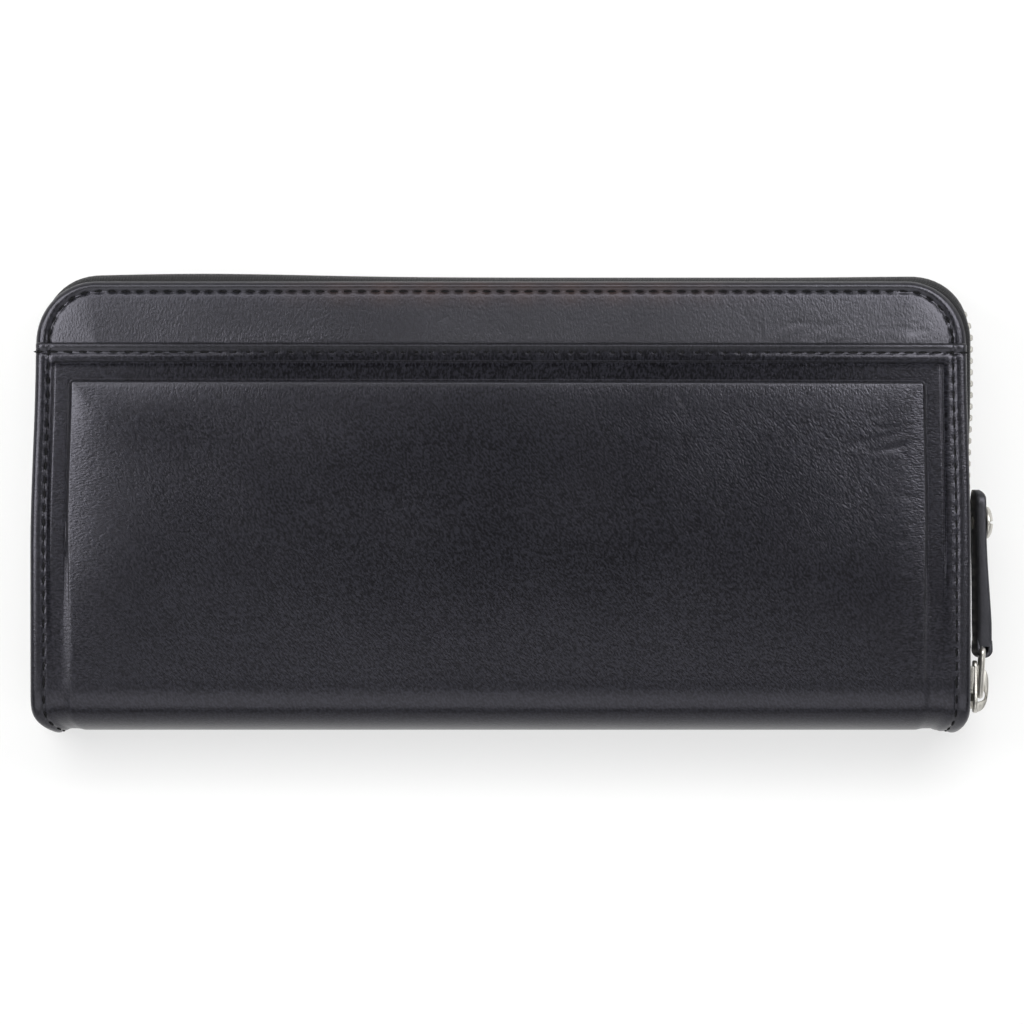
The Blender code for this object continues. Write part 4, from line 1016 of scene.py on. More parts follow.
def gusset(name, end):
    """A pleated web at one end of a compartment; end is -1 at the left and 1 at the right."""
    low, high = box(name)
    deep = high[0] - low[0]
    edge = max(abs(low[0]), abs(high[0]))
    bottom, top = low[2] + 0.2, high[2] - 0.2
    turn = np.linspace(-1, 1, 25)
    grid = []
    for y in marks(low[1], (high[1], 3.0)):
        fold = GUSSET_FOOT + (deep - GUSSET_FOOT) * (y - low[1]) / (high[1] - low[1])
        pleat = smooth(np.clip(1 - np.abs(turn) / PLEAT_SHARE, 0, 1))
        flap = GUSSET_FLAP * (1 - smooth((np.abs(turn) - PLEAT_SHARE) / 0.2))
        reach = flap + (fold - GUSSET_FLAP) * pleat
        level = (bottom + top) / 2 + (top - bottom) / 2 * np.clip(turn / PLEAT_SHARE, -1, 1)
        grid.append(gathered(end * (edge - reach), y, level))
    obj = sheet(f"{name}_web", grid, 0.4, lining_cloth)
    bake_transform(obj)
    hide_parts(name)


for side, end in (("left", -1), ("right", 1)):
    gusset(f"front_gusset_{side}", end)
    gusset(f"rear_gusset_{side}", end)
print("four gussets made")


# %% [markdown]
# ## Coin pocket
# Two leather leaves with a cloth wall between them on three sides, and a small zip along the top.

# %% Coin pocket
for side in ("front", "rear"):
    plain_sheet(f"coin_leaf_{side}", f"coin_{side}_leaf", "coin_pocket", inner_leather, "inner_leather")
    plain_sheet(f"coin_tape_{side}", f"coin_{side}_tape", "coin_pocket", tape_cloth, "zip_tape")
COIN_WALL, COIN_CORNER = 0.6, 1.2
wall_low, wall_high = box("coin_pocket_wall")
sides = marks(wall_high[1], (wall_low[1] + COIN_CORNER, 3.0))
floor_xs = marks(wall_low[0] + COIN_CORNER, (wall_high[0] - COIN_CORNER, 4.0))
wall_path = np.concatenate([
    gathered(wall_low[0] + COIN_WALL / 2, sides),
    gathered(floor_xs, wall_low[1] + COIN_WALL / 2),
    gathered(wall_high[0] - COIN_WALL / 2, sides)[::-1],
])
wall_levels = np.linspace(wall_low[2], wall_high[2], 7)
wall_grid = [gathered(*wall_path.T, level) for level in wall_levels]
coin_wall = sheet("coin_wall", wall_grid, COIN_WALL, lining_cloth)
dress(coin_wall, "coin_pocket", "lining_cloth", "coin_pocket_wall")
print("coin pocket made")


# %% [markdown]
# ## The zip's line
# The zip runs up the right side, round two corners along the top and down the left side. Everything on it
# is placed by its distance along that line.

# %% The zip's line
teeth_low, teeth_high = box("front_zip_teeth")
tape_low = box("rear_zip_tape")[0]
slider_low, slider_high = box("zip_slider")
TOOTH_THICK = 2.2
ZIP_LEFT, ZIP_RIGHT = teeth_low[0] + TOOTH_THICK / 2, teeth_high[0] - TOOTH_THICK / 2
ZIP_TOP = teeth_high[1] - TOOTH_THICK / 2
ZIP_CORNER = 12.5
STAND_OUT, SET_BACK = 0.15, 0.22


def zip_shift(point):
    """The line follows the narrowing of the covers at the left and stands out at the upper right."""
    left, right = toward_ends(point[0])
    set_back = smooth((point[1] + 32) / 12) * (1 - smooth((point[1] - 8) / 14))
    stand_out = STAND_OUT * smooth((point[1] - 14) / 14) - SET_BACK * set_back
    return NARROW_LEFT * left * smooth((point[1] + 10) / 45) + right * stand_out


def zip_point(distance, start_y):
    """Point on the zip's line and the outward normal there, at a distance from start_y on the right side."""
    side = ZIP_TOP - ZIP_CORNER - start_y
    corner = ZIP_CORNER * math.pi / 2
    top = ZIP_RIGHT - ZIP_LEFT - 2 * ZIP_CORNER
    turn = np.clip(distance - side, 0, corner) / ZIP_CORNER
    turn += np.clip(distance - side - corner - top, 0, corner) / ZIP_CORNER
    normal = np.array([math.cos(turn), math.sin(turn)])
    low = np.minimum(distance - side, 0) - np.maximum(distance - side - 2 * corner - top, 0)
    x = ZIP_RIGHT - ZIP_CORNER - np.clip(distance - side - corner, 0, top)
    point = np.array([x, ZIP_TOP - ZIP_CORNER + low]) + normal * ZIP_CORNER
    return point + (zip_shift(point), 0.0), normal


def zip_length(start_y, end_y):
    """Length of the zip's line from start_y on the right to end_y on the left."""
    sides = 2 * (ZIP_TOP - ZIP_CORNER) - start_y - end_y
    return sides + ZIP_CORNER * math.pi + ZIP_RIGHT - ZIP_LEFT - 2 * ZIP_CORNER


CHAIN_START, CHAIN_END = slider_high[1] + 1.2, FOLD + 2.5
print(f"zip chain: {zip_length(CHAIN_START, CHAIN_END):.1f} mm long")


# %% [markdown]
# ## Zip tape
# Each tape has a flange sewn under the cover's edge. From there it stands up to the chain, and bulges
# outwards, most at the top and at the right-hand corner, where it shows past the leather.

# %% Zip tapes
TAPE = 0.45
TAPE_FLANGE = 4.5
CHAIN_HALF = 2.95
TAPE_END_Y = tape_low[1] + 0.2


def tape_bulge(point):
    """How far the tape stands out at this place on the zip's line."""
    top = smooth((point[1] - ZIP_TOP + ZIP_CORNER) / ZIP_CORNER)
    right = smooth((point[0] - 60) / 38)
    left = smooth((-60 - point[0]) / 38)
    behind_pull = smooth((point[1] + 38) / 6) * (1 - smooth((point[1] - 5) / 25))
    side = right * (0.3 * smooth((point[1] - 5) / 25) + 0.25 * behind_pull)
    return max(side, top * (1.0 + 0.25 * right - 0.1 * left + 0.85 * bell(point[0] + 66, 34)))


def tape_grid(flange_z, toward):
    """Middle surface of a tape: the flange, the turn under the cover's edge and the wall to the chain."""
    edge_z = MIDDLE - toward * (CHAIN_HALF - 0.9)
    height = abs(edge_z - flange_z)
    length = zip_length(TAPE_END_Y, TAPE_END_Y)
    grid = []
    for distance in marks(0.0, (length, 1.4)):
        point, normal = zip_point(distance, TAPE_END_Y)
        past = FOLD - point[1]
        start, flange = flange_z, TAPE_FLANGE
        if past > 0:
            depth = SPINE_INSIDE + 0.9
            angle = -toward * math.acos(min(past / (SPINE_DEPTH - depth), 1.0))
            drop = abs(spine_point(np.zeros(1), np.array([angle]), -depth)[0, 2] - MIDDLE)
            start, flange = MIDDLE - toward * max(drop, CHAIN_HALF + 0.6), 0.6
        share = np.linspace(0, 1, 15)
        wall_z = start + toward * (0.5 + (abs(edge_z - start) - 0.5) * share)
        out = tape_bulge(point) * np.sin(np.pi * share ** 0.8) * min(1.0, abs(edge_z - start) / height)
        radii = np.concatenate([[-flange, -flange * 0.5, -0.55, -0.15], out])
        levels = np.concatenate([[start, start, start, start + toward * 0.15], wall_z])
        grid.append(np.stack([point[0] + normal[0] * radii, point[1] + normal[1] * radii, levels], 1))
    return grid


front_flange = box("front_board")[1][2] + 0.1 + TAPE / 2
rear_flange = box("rear_board")[0][2] + TAPE / 2
for side, level, toward in (("front", front_flange, 1), ("rear", rear_flange, -1)):
    tape = sheet(f"{side}_tape", tape_grid(level, toward), TAPE, tape_cloth)
    dress(tape, f"{side}_cover", "zip_tape", f"{side}_zip_tape")
    print(tape.name, len(tape.data.polygons), "faces")


# %% [markdown]
# ## Zip teeth
# Stamped metal teeth grip the tape's edge, one every 2.5 mm on each side, and mesh with the other side's.
# They repeat along a path, so Geometry Nodes set them: the path's points carry one tooth each, turned to
# the path's run and to the chain's middle. The tooth itself is a short loft of octagons.

# %% A tooth, and the tree that sets it
PITCH = 2.5
TOOTH_SECTIONS = (
    (2.95, 1.0, 1.4), (2.7, 1.4, 1.9), (1.5, 1.4, 1.9), (1.2, 1.0, 1.7), (0.1, 0.9, 1.6), (-0.35, 1.1, 1.7),
    (-0.7, 0.8, 1.3),
)


def tooth_mesh(name, scale):
    """A tooth from its clamp on the tape to its tip, as wide along the path as its neighbours allow."""
    rings = []
    for level, along, thick in TOOTH_SECTIONS:
        a, t = along / 2, thick / 2
        half_ring = [(a, t * 0.7), (a * 0.55, t), (-a * 0.55, t), (-a, t * 0.7)]
        ring = half_ring + [(-u, -v) for u, v in half_ring]
        rings.append([(u * scale, v * scale, level * scale) for u, v in ring])
    return closed(name, lofted(np.array(rings)), nickel, 30)


def new_tree(name, sockets):
    """An empty Geometry Nodes tree with these named inputs, and its input and output nodes."""
    tree = bpy.data.node_groups.new(name, "GeometryNodeTree")
    tree.interface.new_socket("Geometry", in_out="INPUT", socket_type="NodeSocketGeometry")
    for label, kind, value in sockets:
        socket = tree.interface.new_socket(label, in_out="INPUT", socket_type=kind)
        if value is not None:
            socket.default_value = value
    tree.interface.new_socket("Geometry", in_out="OUTPUT", socket_type="NodeSocketGeometry")
    return tree, add(tree, "NodeGroupInput").outputs


def along_path(tree, path, mode, **inputs):
    """Points along a path, and the turn at each that brings X into its run."""
    curve = add(tree, "GeometryNodeMeshToCurve", {"Mesh": path})
    points = add(tree, "GeometryNodeCurveToPoints", {"Curve": curve.outputs["Curve"], **inputs}, mode=mode)
    run = points.outputs["Tangent"]
    return points, add(tree, "FunctionNodeAlignRotationToVector", {"Vector": run}, axis="X")


def end_tree(tree, points, turned, shape, material):
    """Sets the shape on the points, makes it real and gives it its material."""
    placed = add(tree, "GeometryNodeInstanceOnPoints", {
        "Points": points.outputs["Points"], "Instance": shape.outputs["Geometry"],
        "Rotation": turned.outputs["Rotation"],
    })
    real = add(tree, "GeometryNodeRealizeInstances", {"Geometry": placed.outputs["Instances"]})
    dressed = add(tree, "GeometryNodeSetMaterial", {
        "Geometry": real.outputs["Geometry"], "Material": material,
    })
    add(tree, "NodeGroupOutput", {"Geometry": dressed.outputs["Geometry"]})


def tooth_tree():
    """One tooth at each point of a path, its foot towards Up."""
    tree, given = new_tree("Teeth along a zip", (
        ("Tooth", "NodeSocketObject", None), ("Up", "NodeSocketVector", (0.0, 0.0, 1.0)),
        ("Metal", "NodeSocketMaterial", None),
    ))
    points, along = along_path(tree, given["Geometry"], "EVALUATED")
    upright = add(tree, "FunctionNodeAlignRotationToVector", {
        "Rotation": along.outputs["Rotation"], "Vector": given["Up"],
    }, axis="Z", pivot_axis="X")
    tooth = add(tree, "GeometryNodeObjectInfo", {"Object": given["Tooth"]})
    end_tree(tree, points, upright, tooth, given["Metal"])
    return tree


def grow(name, paths, tree, **values):
    """Runs a tree over one or more paths and returns the result as a plain mesh object."""
    mesh = bpy.data.meshes.new(name)
    points, edges = [], []
    for path in paths:
        edges += [(len(points) + i, len(points) + i + 1) for i in range(len(path) - 1)]
        points += (np.asarray(path) * MM).tolist()
    mesh.from_pydata(points, edges, [])
    carrier = in_scene(name + "_path", mesh)
    modifier = carrier.modifiers.new("grow", "NODES")
    modifier.node_group = tree
    for item in tree.interface.items_tree:
        if item.in_out == "INPUT" and item.name in values:
            modifier[item.identifier] = values[item.name]
    depsgraph = bpy.context.evaluated_depsgraph_get()
    made = bpy.data.meshes.new_from_object(carrier.evaluated_get(depsgraph), depsgraph=depsgraph)
    bpy.data.objects.remove(carrier)
    return in_scene(name, made)


teeth_tree = tooth_tree()


def teeth_row(name, line, tooth, sign, body, node):
    """A row of teeth along a line, which stand up or hang down by their sign."""
    row = grow(name, [line], teeth_tree, Tooth=tooth, Up=(0.0, 0.0, float(sign)), Metal=nickel)
    print(name, len(line), "teeth,", len(row.data.polygons), "faces")
    return dress(row, body, "zip_metal", node)


CHAIN_LEAN = 0.25
main_tooth = tooth_mesh("tooth", 1.0)
length = zip_length(CHAIN_START, CHAIN_END)
for side, sign in (("front", -1), ("rear", 1)):
    stations = (np.arange(int(length / PITCH)) + 0.5 + sign * 0.25) * PITCH
    places = [zip_point(station, CHAIN_START) for station in stations]
    leans = [sign * CHAIN_LEAN * smooth(point[1] / 20) for point, normal in places]
    line = np.array([[*(point + normal * lean), MIDDLE] for (point, normal), lean in zip(places, leans)])
    teeth_row(f"{side}_teeth_row", line, main_tooth, sign, f"{side}_cover", f"{side}_zip_teeth")
bpy.data.objects.remove(main_tooth)


# %% [markdown]
# ## Coin zip's teeth
# The same tree sets the small zip's teeth, scaled down.

# %% Coin zip's teeth
COIN_PITCH, COIN_SCALE = 2.2, 0.72
coin_low, coin_high = box("coin_front_teeth")
coin_rear_high = box("coin_rear_teeth")[1]
coin_y = (coin_low[1] + coin_high[1]) / 2
coin_z = (coin_low[2] + coin_rear_high[2]) / 2
coin_tooth = tooth_mesh("coin_tooth", COIN_SCALE)
for side, sign in (("front", -1), ("rear", 1)):
    xs = np.arange(coin_high[0] - COIN_PITCH * (0.5 + sign * 0.25), coin_low[0], -COIN_PITCH)
    line = gathered(xs, coin_y, coin_z)
    teeth_row(f"coin_{side}_teeth_row", line, coin_tooth, sign, "coin_pocket", f"coin_{side}_teeth")
bpy.data.objects.remove(coin_tooth)


# %% [markdown]
# ## Stitches
# A lockstitch shows as short lengths of thread with a gap where the needle went down. The rows follow the
# same height functions as the hide, so each stitch lies in its groove. Geometry Nodes space them along the
# rows.

# %% The tree that sets stitches
def stitch_tree():
    """Short lengths of thread along a path."""
    tree, given = new_tree("Stitches along a seam", (
        ("Spacing", "NodeSocketFloat", 3.0 * MM), ("Stitch", "NodeSocketFloat", 2.3 * MM),
        ("Width", "NodeSocketFloat", 0.55 * MM), ("Thread", "NodeSocketMaterial", None),
    ))
    points, along = along_path(tree, given["Geometry"], "LENGTH", Length=given["Spacing"])
    bead = add(tree, "GeometryNodeMeshUVSphere", {"Segments": 8, "Rings": 6, "Radius": 0.5})
    size = add(tree, "ShaderNodeCombineXYZ", {
        "X": given["Stitch"], "Y": given["Width"], "Z": given["Width"],
    })
    drawn = add(tree, "GeometryNodeTransform", {
        "Geometry": bead.outputs["Mesh"], "Scale": size.outputs["Vector"],
    })
    end_tree(tree, points, along, drawn, given["Thread"])
    return tree


stitches = stitch_tree()


def sew(name, rows, body, slot, spacing=STITCH, stitch=2.1, width=0.48):
    """Stitches along the rows, on one body."""
    obj = grow(
        name, rows, stitches, Spacing=spacing * MM, Stitch=stitch * MM, Width=width * MM, Thread=thread,
    )
    obj.data.shade_smooth()
    if body:
        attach(obj, body)
    print(name, len(obj.data.polygons) // 48, "stitches")
    return obj


# %% Seams of the covers
def seam_halves(low_y, spacing=0.4):
    """The perimeter seam's two halves as x and y, each from the middle of the zip side down one side."""
    angles = np.radians(np.linspace(90, 0, 40))
    halves = []
    for end, seam in ((-1, SIDE_SEAM_LEFT), (1, SIDE_SEAM_RIGHT)):
        top = gathered(marks(0.0, (HALF - CORNER, spacing)), TOP - TOP_SEAM)
        reach = CORNER - (seam + (TOP_SEAM - seam) * smooth(angles / (np.pi / 2)))
        corner = circle(angles) * reach[:, None]
        side = gathered(HALF - seam, marks(TOP - CORNER, (low_y, spacing)))
        half = np.concatenate([top, corner[1:] + (HALF - CORNER, TOP - CORNER), side[1:]])
        halves.append(half * (end, 1) + ((LEFT + RIGHT) / 2, 0))
    return halves


def laid(path, height, lift, shift=unmoved):
    """A seam's x and y laid on the hide."""
    x, y = path.T
    return np.stack([narrowed(x, y), y + shift(x, y), height(x, y) + lift], 1)


side_ys = marks(MOUTH - HEM_SEAM, (FOLD, 0.5))
left_side = gathered(LEFT + SIDE_SEAM_LEFT, side_ys)
right_side = gathered(RIGHT - SIDE_SEAM_RIGHT, side_ys)
hem_xs = marks(0.0, (RIGHT - 0.6, 0.5))
hem_right = gathered(hem_xs, MOUTH - HEM_SEAM)
hem_halves = [hem_right, hem_right * (-1, 1)]
HEM_SPLIT, SEWN, HEM_SEWN, HEM_END_SEWN = 130, 0.1, 0.05, 0.06
hem_middle = [half[:HEM_SPLIT] for half in hem_halves]
hem_ends = [half[HEM_SPLIT:] for half in hem_halves]
for name, rows, height, lift, shift, body, sizes in (
    ("yoke_stitches", seam_halves(MOUTH + 1.2), yoke_height, SEWN, unmoved, "rear_cover", {}),
    ("pocket_side_stitches", (left_side, right_side), panel_height, SEWN, askew, "rear_cover", {}),
    ("hem_stitches", hem_middle, panel_height, HEM_SEWN, askew, "rear_cover", {"stitch": 0.9, "width": 0.5}),
    ("hem_end_stitches", hem_ends, panel_height, HEM_END_SEWN, askew, "rear_cover", {"stitch": 2.2}),
    ("front_stitches", seam_halves(FOLD), front_height, -SEWN, unmoved, "front_cover", {}),
):
    sew(name, [laid(row, height, lift, shift) for row in rows], body, "outer_leather", **sizes)
for name, start, end, bodies in (
    ("spine_stitches_lower", -90, 0, LOWER), ("spine_stitches_upper", 90, 0, UPPER),
):
    rows = []
    for x in (LEFT + SIDE_SEAM_LEFT, RIGHT - SIDE_SEAM_RIGHT):
        turn = np.radians(np.linspace(start * 0.96, start * 0.04, 60))
        seam_x = np.full_like(turn, x)
        rows.append(spine_point(seam_x, turn, spine_face(seam_x, turn) + SEWN))
    bend(sew(name, rows, None, "outer_leather"), start, end, bodies, "outer_leather")
for body, rows in card_stitches.items():
    sew(f"{body}_card_stitches", rows, body, "inner_leather", spacing=2.6, stitch=1.9, width=0.4)


# %% [markdown]
# ## Slider, ring and pull
# The slider is cast: two plates with a wedge between them at its nose, rails round the chain, and an arch
# that holds the ring. The ring is bent wire, the pull a strip of strap leather folded round it and riveted.
# Each is built from its outline, with rounded edges.

# %% Metal shapes
def bevelled(outline, low, high, bevel, axes, origin):
    """A closed plate from a flat outline, with its edges taken off, set on three axes at an origin."""
    outline = np.asarray(outline, float)
    turn = unit(unit(outline - np.roll(outline, 1, 0)) + unit(np.roll(outline, -1, 0) - outline))
    area = np.sum(outline[:, 0] * np.roll(outline[:, 1], -1) - outline[:, 1] * np.roll(outline[:, 0], -1))
    inward = turn[:, ::-1] * (-1, 1) * np.sign(area)
    rings = []
    for share, level in (
        (1, low), (0.3, low + bevel * 0.3), (0, low + bevel),
        (0, high - bevel), (0.3, high - bevel * 0.3), (1, high),
    ):
        rings.append(gathered(*(outline + inward * bevel * share).T, level))
    return lofted(np.stack(rings) @ np.array(axes, float) + origin)


def tube(path, radius, sides=14):
    """A closed loop of round wire along a path."""
    path = np.asarray(path, float)
    run = unit(np.roll(path, -1, 0) - np.roll(path, 1, 0))
    centre = path.mean(0)
    up = unit(np.cross(path[0] - centre, path[len(path) // 4] - centre))
    out = np.cross(run, up)
    angle = np.linspace(0, 2 * np.pi, sides, endpoint=False)
    ring = out[:, None] * np.cos(angle)[:, None] + up * np.sin(angle)[:, None]
    points = (path[:, None] + radius * ring).reshape(-1, 3)
    ids = np.arange(len(points)).reshape(-1, sides)
    return points, walls(np.concatenate([ids, ids[:1]]))


def joined(name, shapes, material, sharp=30):
    """One object from several closed shapes."""
    points, faces, start = [], [], 0
    for shape_points, shape_faces in shapes:
        points.append(shape_points)
        faces += [[i + start for i in face] for face in shape_faces]
        start += len(shape_points)
    bm = bmesh_of(np.concatenate(points), faces)
    bmesh.ops.recalc_face_normals(bm, faces=bm.faces)
    return make_object(name, bm, material, sharp)


def arc_points(centre, radius, start, end, steps):
    """Points of an arc, in degrees."""
    turn = np.radians(np.linspace(start, end, steps + 1))
    return centre + radius * circle(turn)


def softened(points, rounds=3):
    """Cuts the corners of an open line again and again, so that it comes out curved."""
    line = np.asarray(points, float)
    for _ in range(rounds):
        near, far = line[:-1] * 0.75 + line[1:] * 0.25, line[:-1] * 0.25 + line[1:] * 0.75
        line = np.concatenate([line[:1], np.stack([near, far], 1).reshape(-1, 2)[1:-1], line[-1:]])
    return line


print("metal helpers ready")

# %% Slider
SLIDER_LENGTH = slider_high[1] - slider_low[1]
PLATE_IN, PLATE_OUT = 1.4, 2.3
SLIDER_TAIL = CHAIN_HALF + 0.9
SLIDER_NOSE = SLIDER_TAIL + 0.9
slider_at = np.array([ZIP_RIGHT, (slider_low[1] + slider_high[1]) / 2, MIDDLE])
slider_axes = ((0, 1, 0), (0, 0, 1), (1, 0, 0))
tail, nose = SLIDER_LENGTH / 2, -SLIDER_LENGTH / 2
plate_side = np.concatenate([
    arc_points((nose + 2.1, SLIDER_NOSE - 2.1), 2.1, 180, 90, 8), [(nose + 4.2, SLIDER_NOSE - 0.15)],
    [(tail * 0.2, SLIDER_TAIL + 0.1)], arc_points((tail - 1.3, SLIDER_TAIL - 1.3), 1.3, 90, 0, 6),
])
plate = np.concatenate([plate_side, (plate_side * (1, -1))[::-1]])
wedge = np.array([(0.9, -0.5), (2.6, -1.25), (5.0, 0), (2.6, 1.25), (0.9, 0.5)]) + (nose, 0)
shapes = [
    bevelled(plate, PLATE_IN, PLATE_OUT, 0.3, slider_axes, slider_at),
    bevelled(plate, -PLATE_OUT, -PLATE_IN, 0.3, slider_axes, slider_at),
    bevelled(wedge, -PLATE_IN - 0.2, PLATE_IN + 0.2, 0.05, slider_axes, slider_at),
]
for sign in (-1, 1):
    rail = np.array([(-1.4, 0), (tail - 1.3, 0), (tail - 1.3, 0.6), (-1.4, 0.6)])
    rail[:, 1] = sign * (SLIDER_TAIL - 0.6 + rail[:, 1])
    shapes.append(bevelled(rail, 0.7, PLATE_IN + 0.2, 0.1, slider_axes, slider_at))
    shapes.append(bevelled(rail, -PLATE_IN - 0.2, -0.7, 0.1, slider_axes, slider_at))
slider = joined("slider", shapes, nickel)
BRIDGE_WIDTH = 3.2
outer_arch = softened([
    (2.1, 4.7), (3.2, 4.6), (4.3, 3.6), (4.8, 2.2), (4.85, 0.2), (4.7, -1.9), (4.3, -3.8), (3.4, -5.2),
    (2.1, -5.6),
])
inner_arch = softened([
    (2.1, -3.3), (2.9, -3.3), (3.7, -3.0), (4.1, -2.3), (4.1, -1.4), (3.7, -0.8), (2.9, -0.6), (2.1, -0.8),
])
arch = np.concatenate([outer_arch, inner_arch])
bridge_shape = bevelled(arch, -BRIDGE_WIDTH / 2, BRIDGE_WIDTH / 2, 0.3, np.eye(3), slider_at)
bridge = joined("slider_bridge", [bridge_shape], nickel)
dress(slider, "zip_slider", "zip_metal", "zip_slider")
dress(bridge, "zip_slider", "zip_metal", "zip_slider")
print("slider", len(slider.data.polygons), "faces")

# %% Ring
WIRE = 1.3
joints = {joint["name"]: joint for joint in frame["record"]["behaviour"]["joints"]}
swings = ("pull_ring_swing", "pull_tab_swing")
ring_foot, ring_head = (np.array(joints[name]["pos_m"]) / MM for name in swings)
lean = unit(ring_head - ring_foot)
RING_LENGTH, RING_HALF, RING_ROUND = np.linalg.norm(ring_head - ring_foot), 4.3, 0.95
RING_SAG = 0.3
far, wide = RING_LENGTH - RING_ROUND, RING_HALF - RING_ROUND
loop = np.concatenate([
    arc_points(centre, RING_ROUND, start, start + 90, 6) for centre, start in (
        ((RING_ROUND, wide), 90), ((RING_ROUND, -wide), 180), ((far, -wide), 270), ((far, wide), 0),
    )
])
ring_path = ring_foot + loop[:, :1] * lean + loop[:, 1:] * np.array([0, 0, 1])
ring_path[:, 0] -= RING_SAG * (1 - loop[:, 0] / RING_LENGTH)
ring = joined("ring", [tube(ring_path, WIRE / 2)], nickel, sharp=60)
dress(ring, "pull_ring", "zip_metal", "pull_ring")
print("ring", len(ring.data.polygons), "faces")

# %% Pull strap
STRAP, STRAP_HALF, STRAP_NECK = 1.0, 3.75, 3.1
EYE_RADIUS = WIRE / 2 + 0.12 + STRAP / 2
TIP_THICK, EYE_THICK = 1.24, EYE_RADIUS + STRAP / 2
ROUND_END, ROUND_BACK = 3.0, 2.0
STRAP_LEAN, STRAP_TWIST = -0.83, math.tan(math.radians(10))
EYE_TOP, LAP, PLUMP = 0.72, 2.2, 0.42
strap_end = box("pull_strap")[1][1] - ring_head[1] + 1.2


def rounded_off(along, radius):
    """How much a round end has taken off the side of a strip at this length."""
    past = np.clip(along - strap_end + radius, 0, radius * 0.999)
    return radius - np.sqrt(radius ** 2 - past ** 2)


def half_thick(along):
    """Half the thickness of the folded strap, which grows towards the eye."""
    return TIP_THICK + (EYE_THICK - TIP_THICK) * smooth(1 - along / 24)


def half_wide(along):
    """Half the width of the strap, which has a neck at the eye and a round end."""
    widening = (STRAP_HALF - STRAP_NECK) * smooth((along - 1.6) / 5.0)
    return STRAP_NECK + widening - rounded_off(along, ROUND_END)


def on_strap(along, side, off):
    """A point of the strap: length from the eye, distance from the middle layer and from the middle line."""
    leant = ring_head[0] + side + STRAP_LEAN * smooth(along / 30) + off * STRAP_TWIST
    return np.stack([leant, ring_head[1] + along, MIDDLE + off], -1)


turn = np.linspace(0, 2 * np.pi, 48, endpoint=False)
across, upright = (np.sign(wave) * np.abs(wave) ** PLUMP for wave in (np.cos(turn), np.sin(turn)))
lengths = marks(EYE_TOP, (strap_end - 3, 0.8), (strap_end - 0.5, 0.3), (strap_end - 0.02, 0.06))[:, None]
outer_side = half_thick(lengths) - rounded_off(lengths, ROUND_BACK)
sides = np.where(across > 0, across * outer_side, across * half_thick(lengths))
body_rings = on_strap(np.broadcast_to(lengths, sides.shape), sides, upright * half_wide(lengths))
strap = joined("strap", [lofted(body_rings)], strap_leather, sharp=60)
leg = np.linspace(LAP, 0, 8)[:-1]
leg_side = half_thick(leg) - STRAP / 2 - 0.03 * leg / LAP
eye_path = np.concatenate([
    gathered(leg, leg_side), arc_points((0, 0), EYE_RADIUS, 90, 270, 20), gathered(leg, -leg_side)[::-1],
])
eye_half = half_wide(eye_path[:, 0]) - 0.3 * smooth(eye_path[:, 0] / LAP)
eye_grid = [on_strap(*eye_path.T, eye_half * share) for share in np.linspace(-1, 1, 13)]
strap_eye = sheet("strap_eye", eye_grid, STRAP, strap_leather, edge=0.4)
for piece in (strap, strap_eye):
    z = points_of(piece)[:, 2]
    wear(piece, worn=0.6 * smooth((np.abs(z - MIDDLE) / STRAP_HALF - 0.75) / 0.25))
    dress(piece, "pull_tab", "outer_leather", "pull_strap")
print("strap", len(strap.data.polygons), "faces")

# %% Rivet
HEAD, HEAD_RISE, SLOT, SLOT_DEEP, CAP = 3.7, 1.55, 0.22, 0.6, 1.3
rivet_low, rivet_high = box("pull_rivet")
rivet_y = (rivet_low[1] + rivet_high[1]) / 2
rivet_along = rivet_y - ring_head[1]
rows = marks(-HEAD, (-SLOT - 0.1, 0.28), (SLOT + 0.1, 0.08), (HEAD, 0.28))
grid_y, share = np.meshgrid(rows, np.sin(np.linspace(-np.pi / 2, np.pi / 2, 25)), indexing="ij")
grid_z = share * np.sqrt(np.maximum(HEAD ** 2 - grid_y ** 2, 0))
reach = np.clip(np.hypot(grid_y, grid_z) / HEAD, 0, 1)
cut = SLOT_DEEP * smooth((SLOT + 0.08 - np.abs(grid_y)) / 0.12)
rise = np.maximum(HEAD_RISE * np.sqrt(1 - reach ** 2) ** 0.9 - cut, 0.1) + 0.2
rise = np.where(reach > 0.999, 0.2, rise)
face = half_thick(rivet_along)
head = on_strap(rivet_along + grid_y, face + rise, grid_z)
base = on_strap(rivet_along + grid_y * 0.97, np.full_like(rise, face - 0.05), grid_z * 0.97)
disc = circle(turn)
flush = []
for radius, low, high, soft in ((CAP, -face - 0.06, -face + 0.3, 0.05), (1.2, -face, face, 0.02)):
    points, faces = bevelled(disc * radius, low, high, soft, slider_axes, np.zeros(3))
    flush.append((on_strap(rivet_along + points[:, 1], points[:, 0], points[:, 2]), faces))
rivet = joined("rivet", [shell(head, base), *flush], nickel, sharp=45)
dress(rivet, "pull_tab", "zip_metal", "pull_rivet")
print("rivet", len(rivet.data.polygons), "faces")


# %% [markdown]
# ## Carried-over nodes
# The boards are hidden inside the covers, and the coin zip's slider and pull are small plain metal, so
# their CAD shapes stay and get their real finishes.

# %% Finishes of the nodes that stay
for node, finish in (
    ("front_board", board), ("rear_board", board), ("rear_pocket_board", board), ("coin_slider", nickel),
    ("coin_pull", nickel),
):
    obj = frame["nodes"][node]
    for material_slot in obj.material_slots:
        material_slot.material = finish
    print(node, "gets", finish.name)


# %% [markdown]
# ## Floor, light and camera
# The wallet lies on a pale floor, lit as in a small studio: soft boxes at the sides and beyond the zip, and
# less light straight above, where the camera hangs. Black leather shows mostly what it reflects, so the
# boxes shape it: the tilted edges turn grey and the level field stays dark. The background is white to the
# camera only.

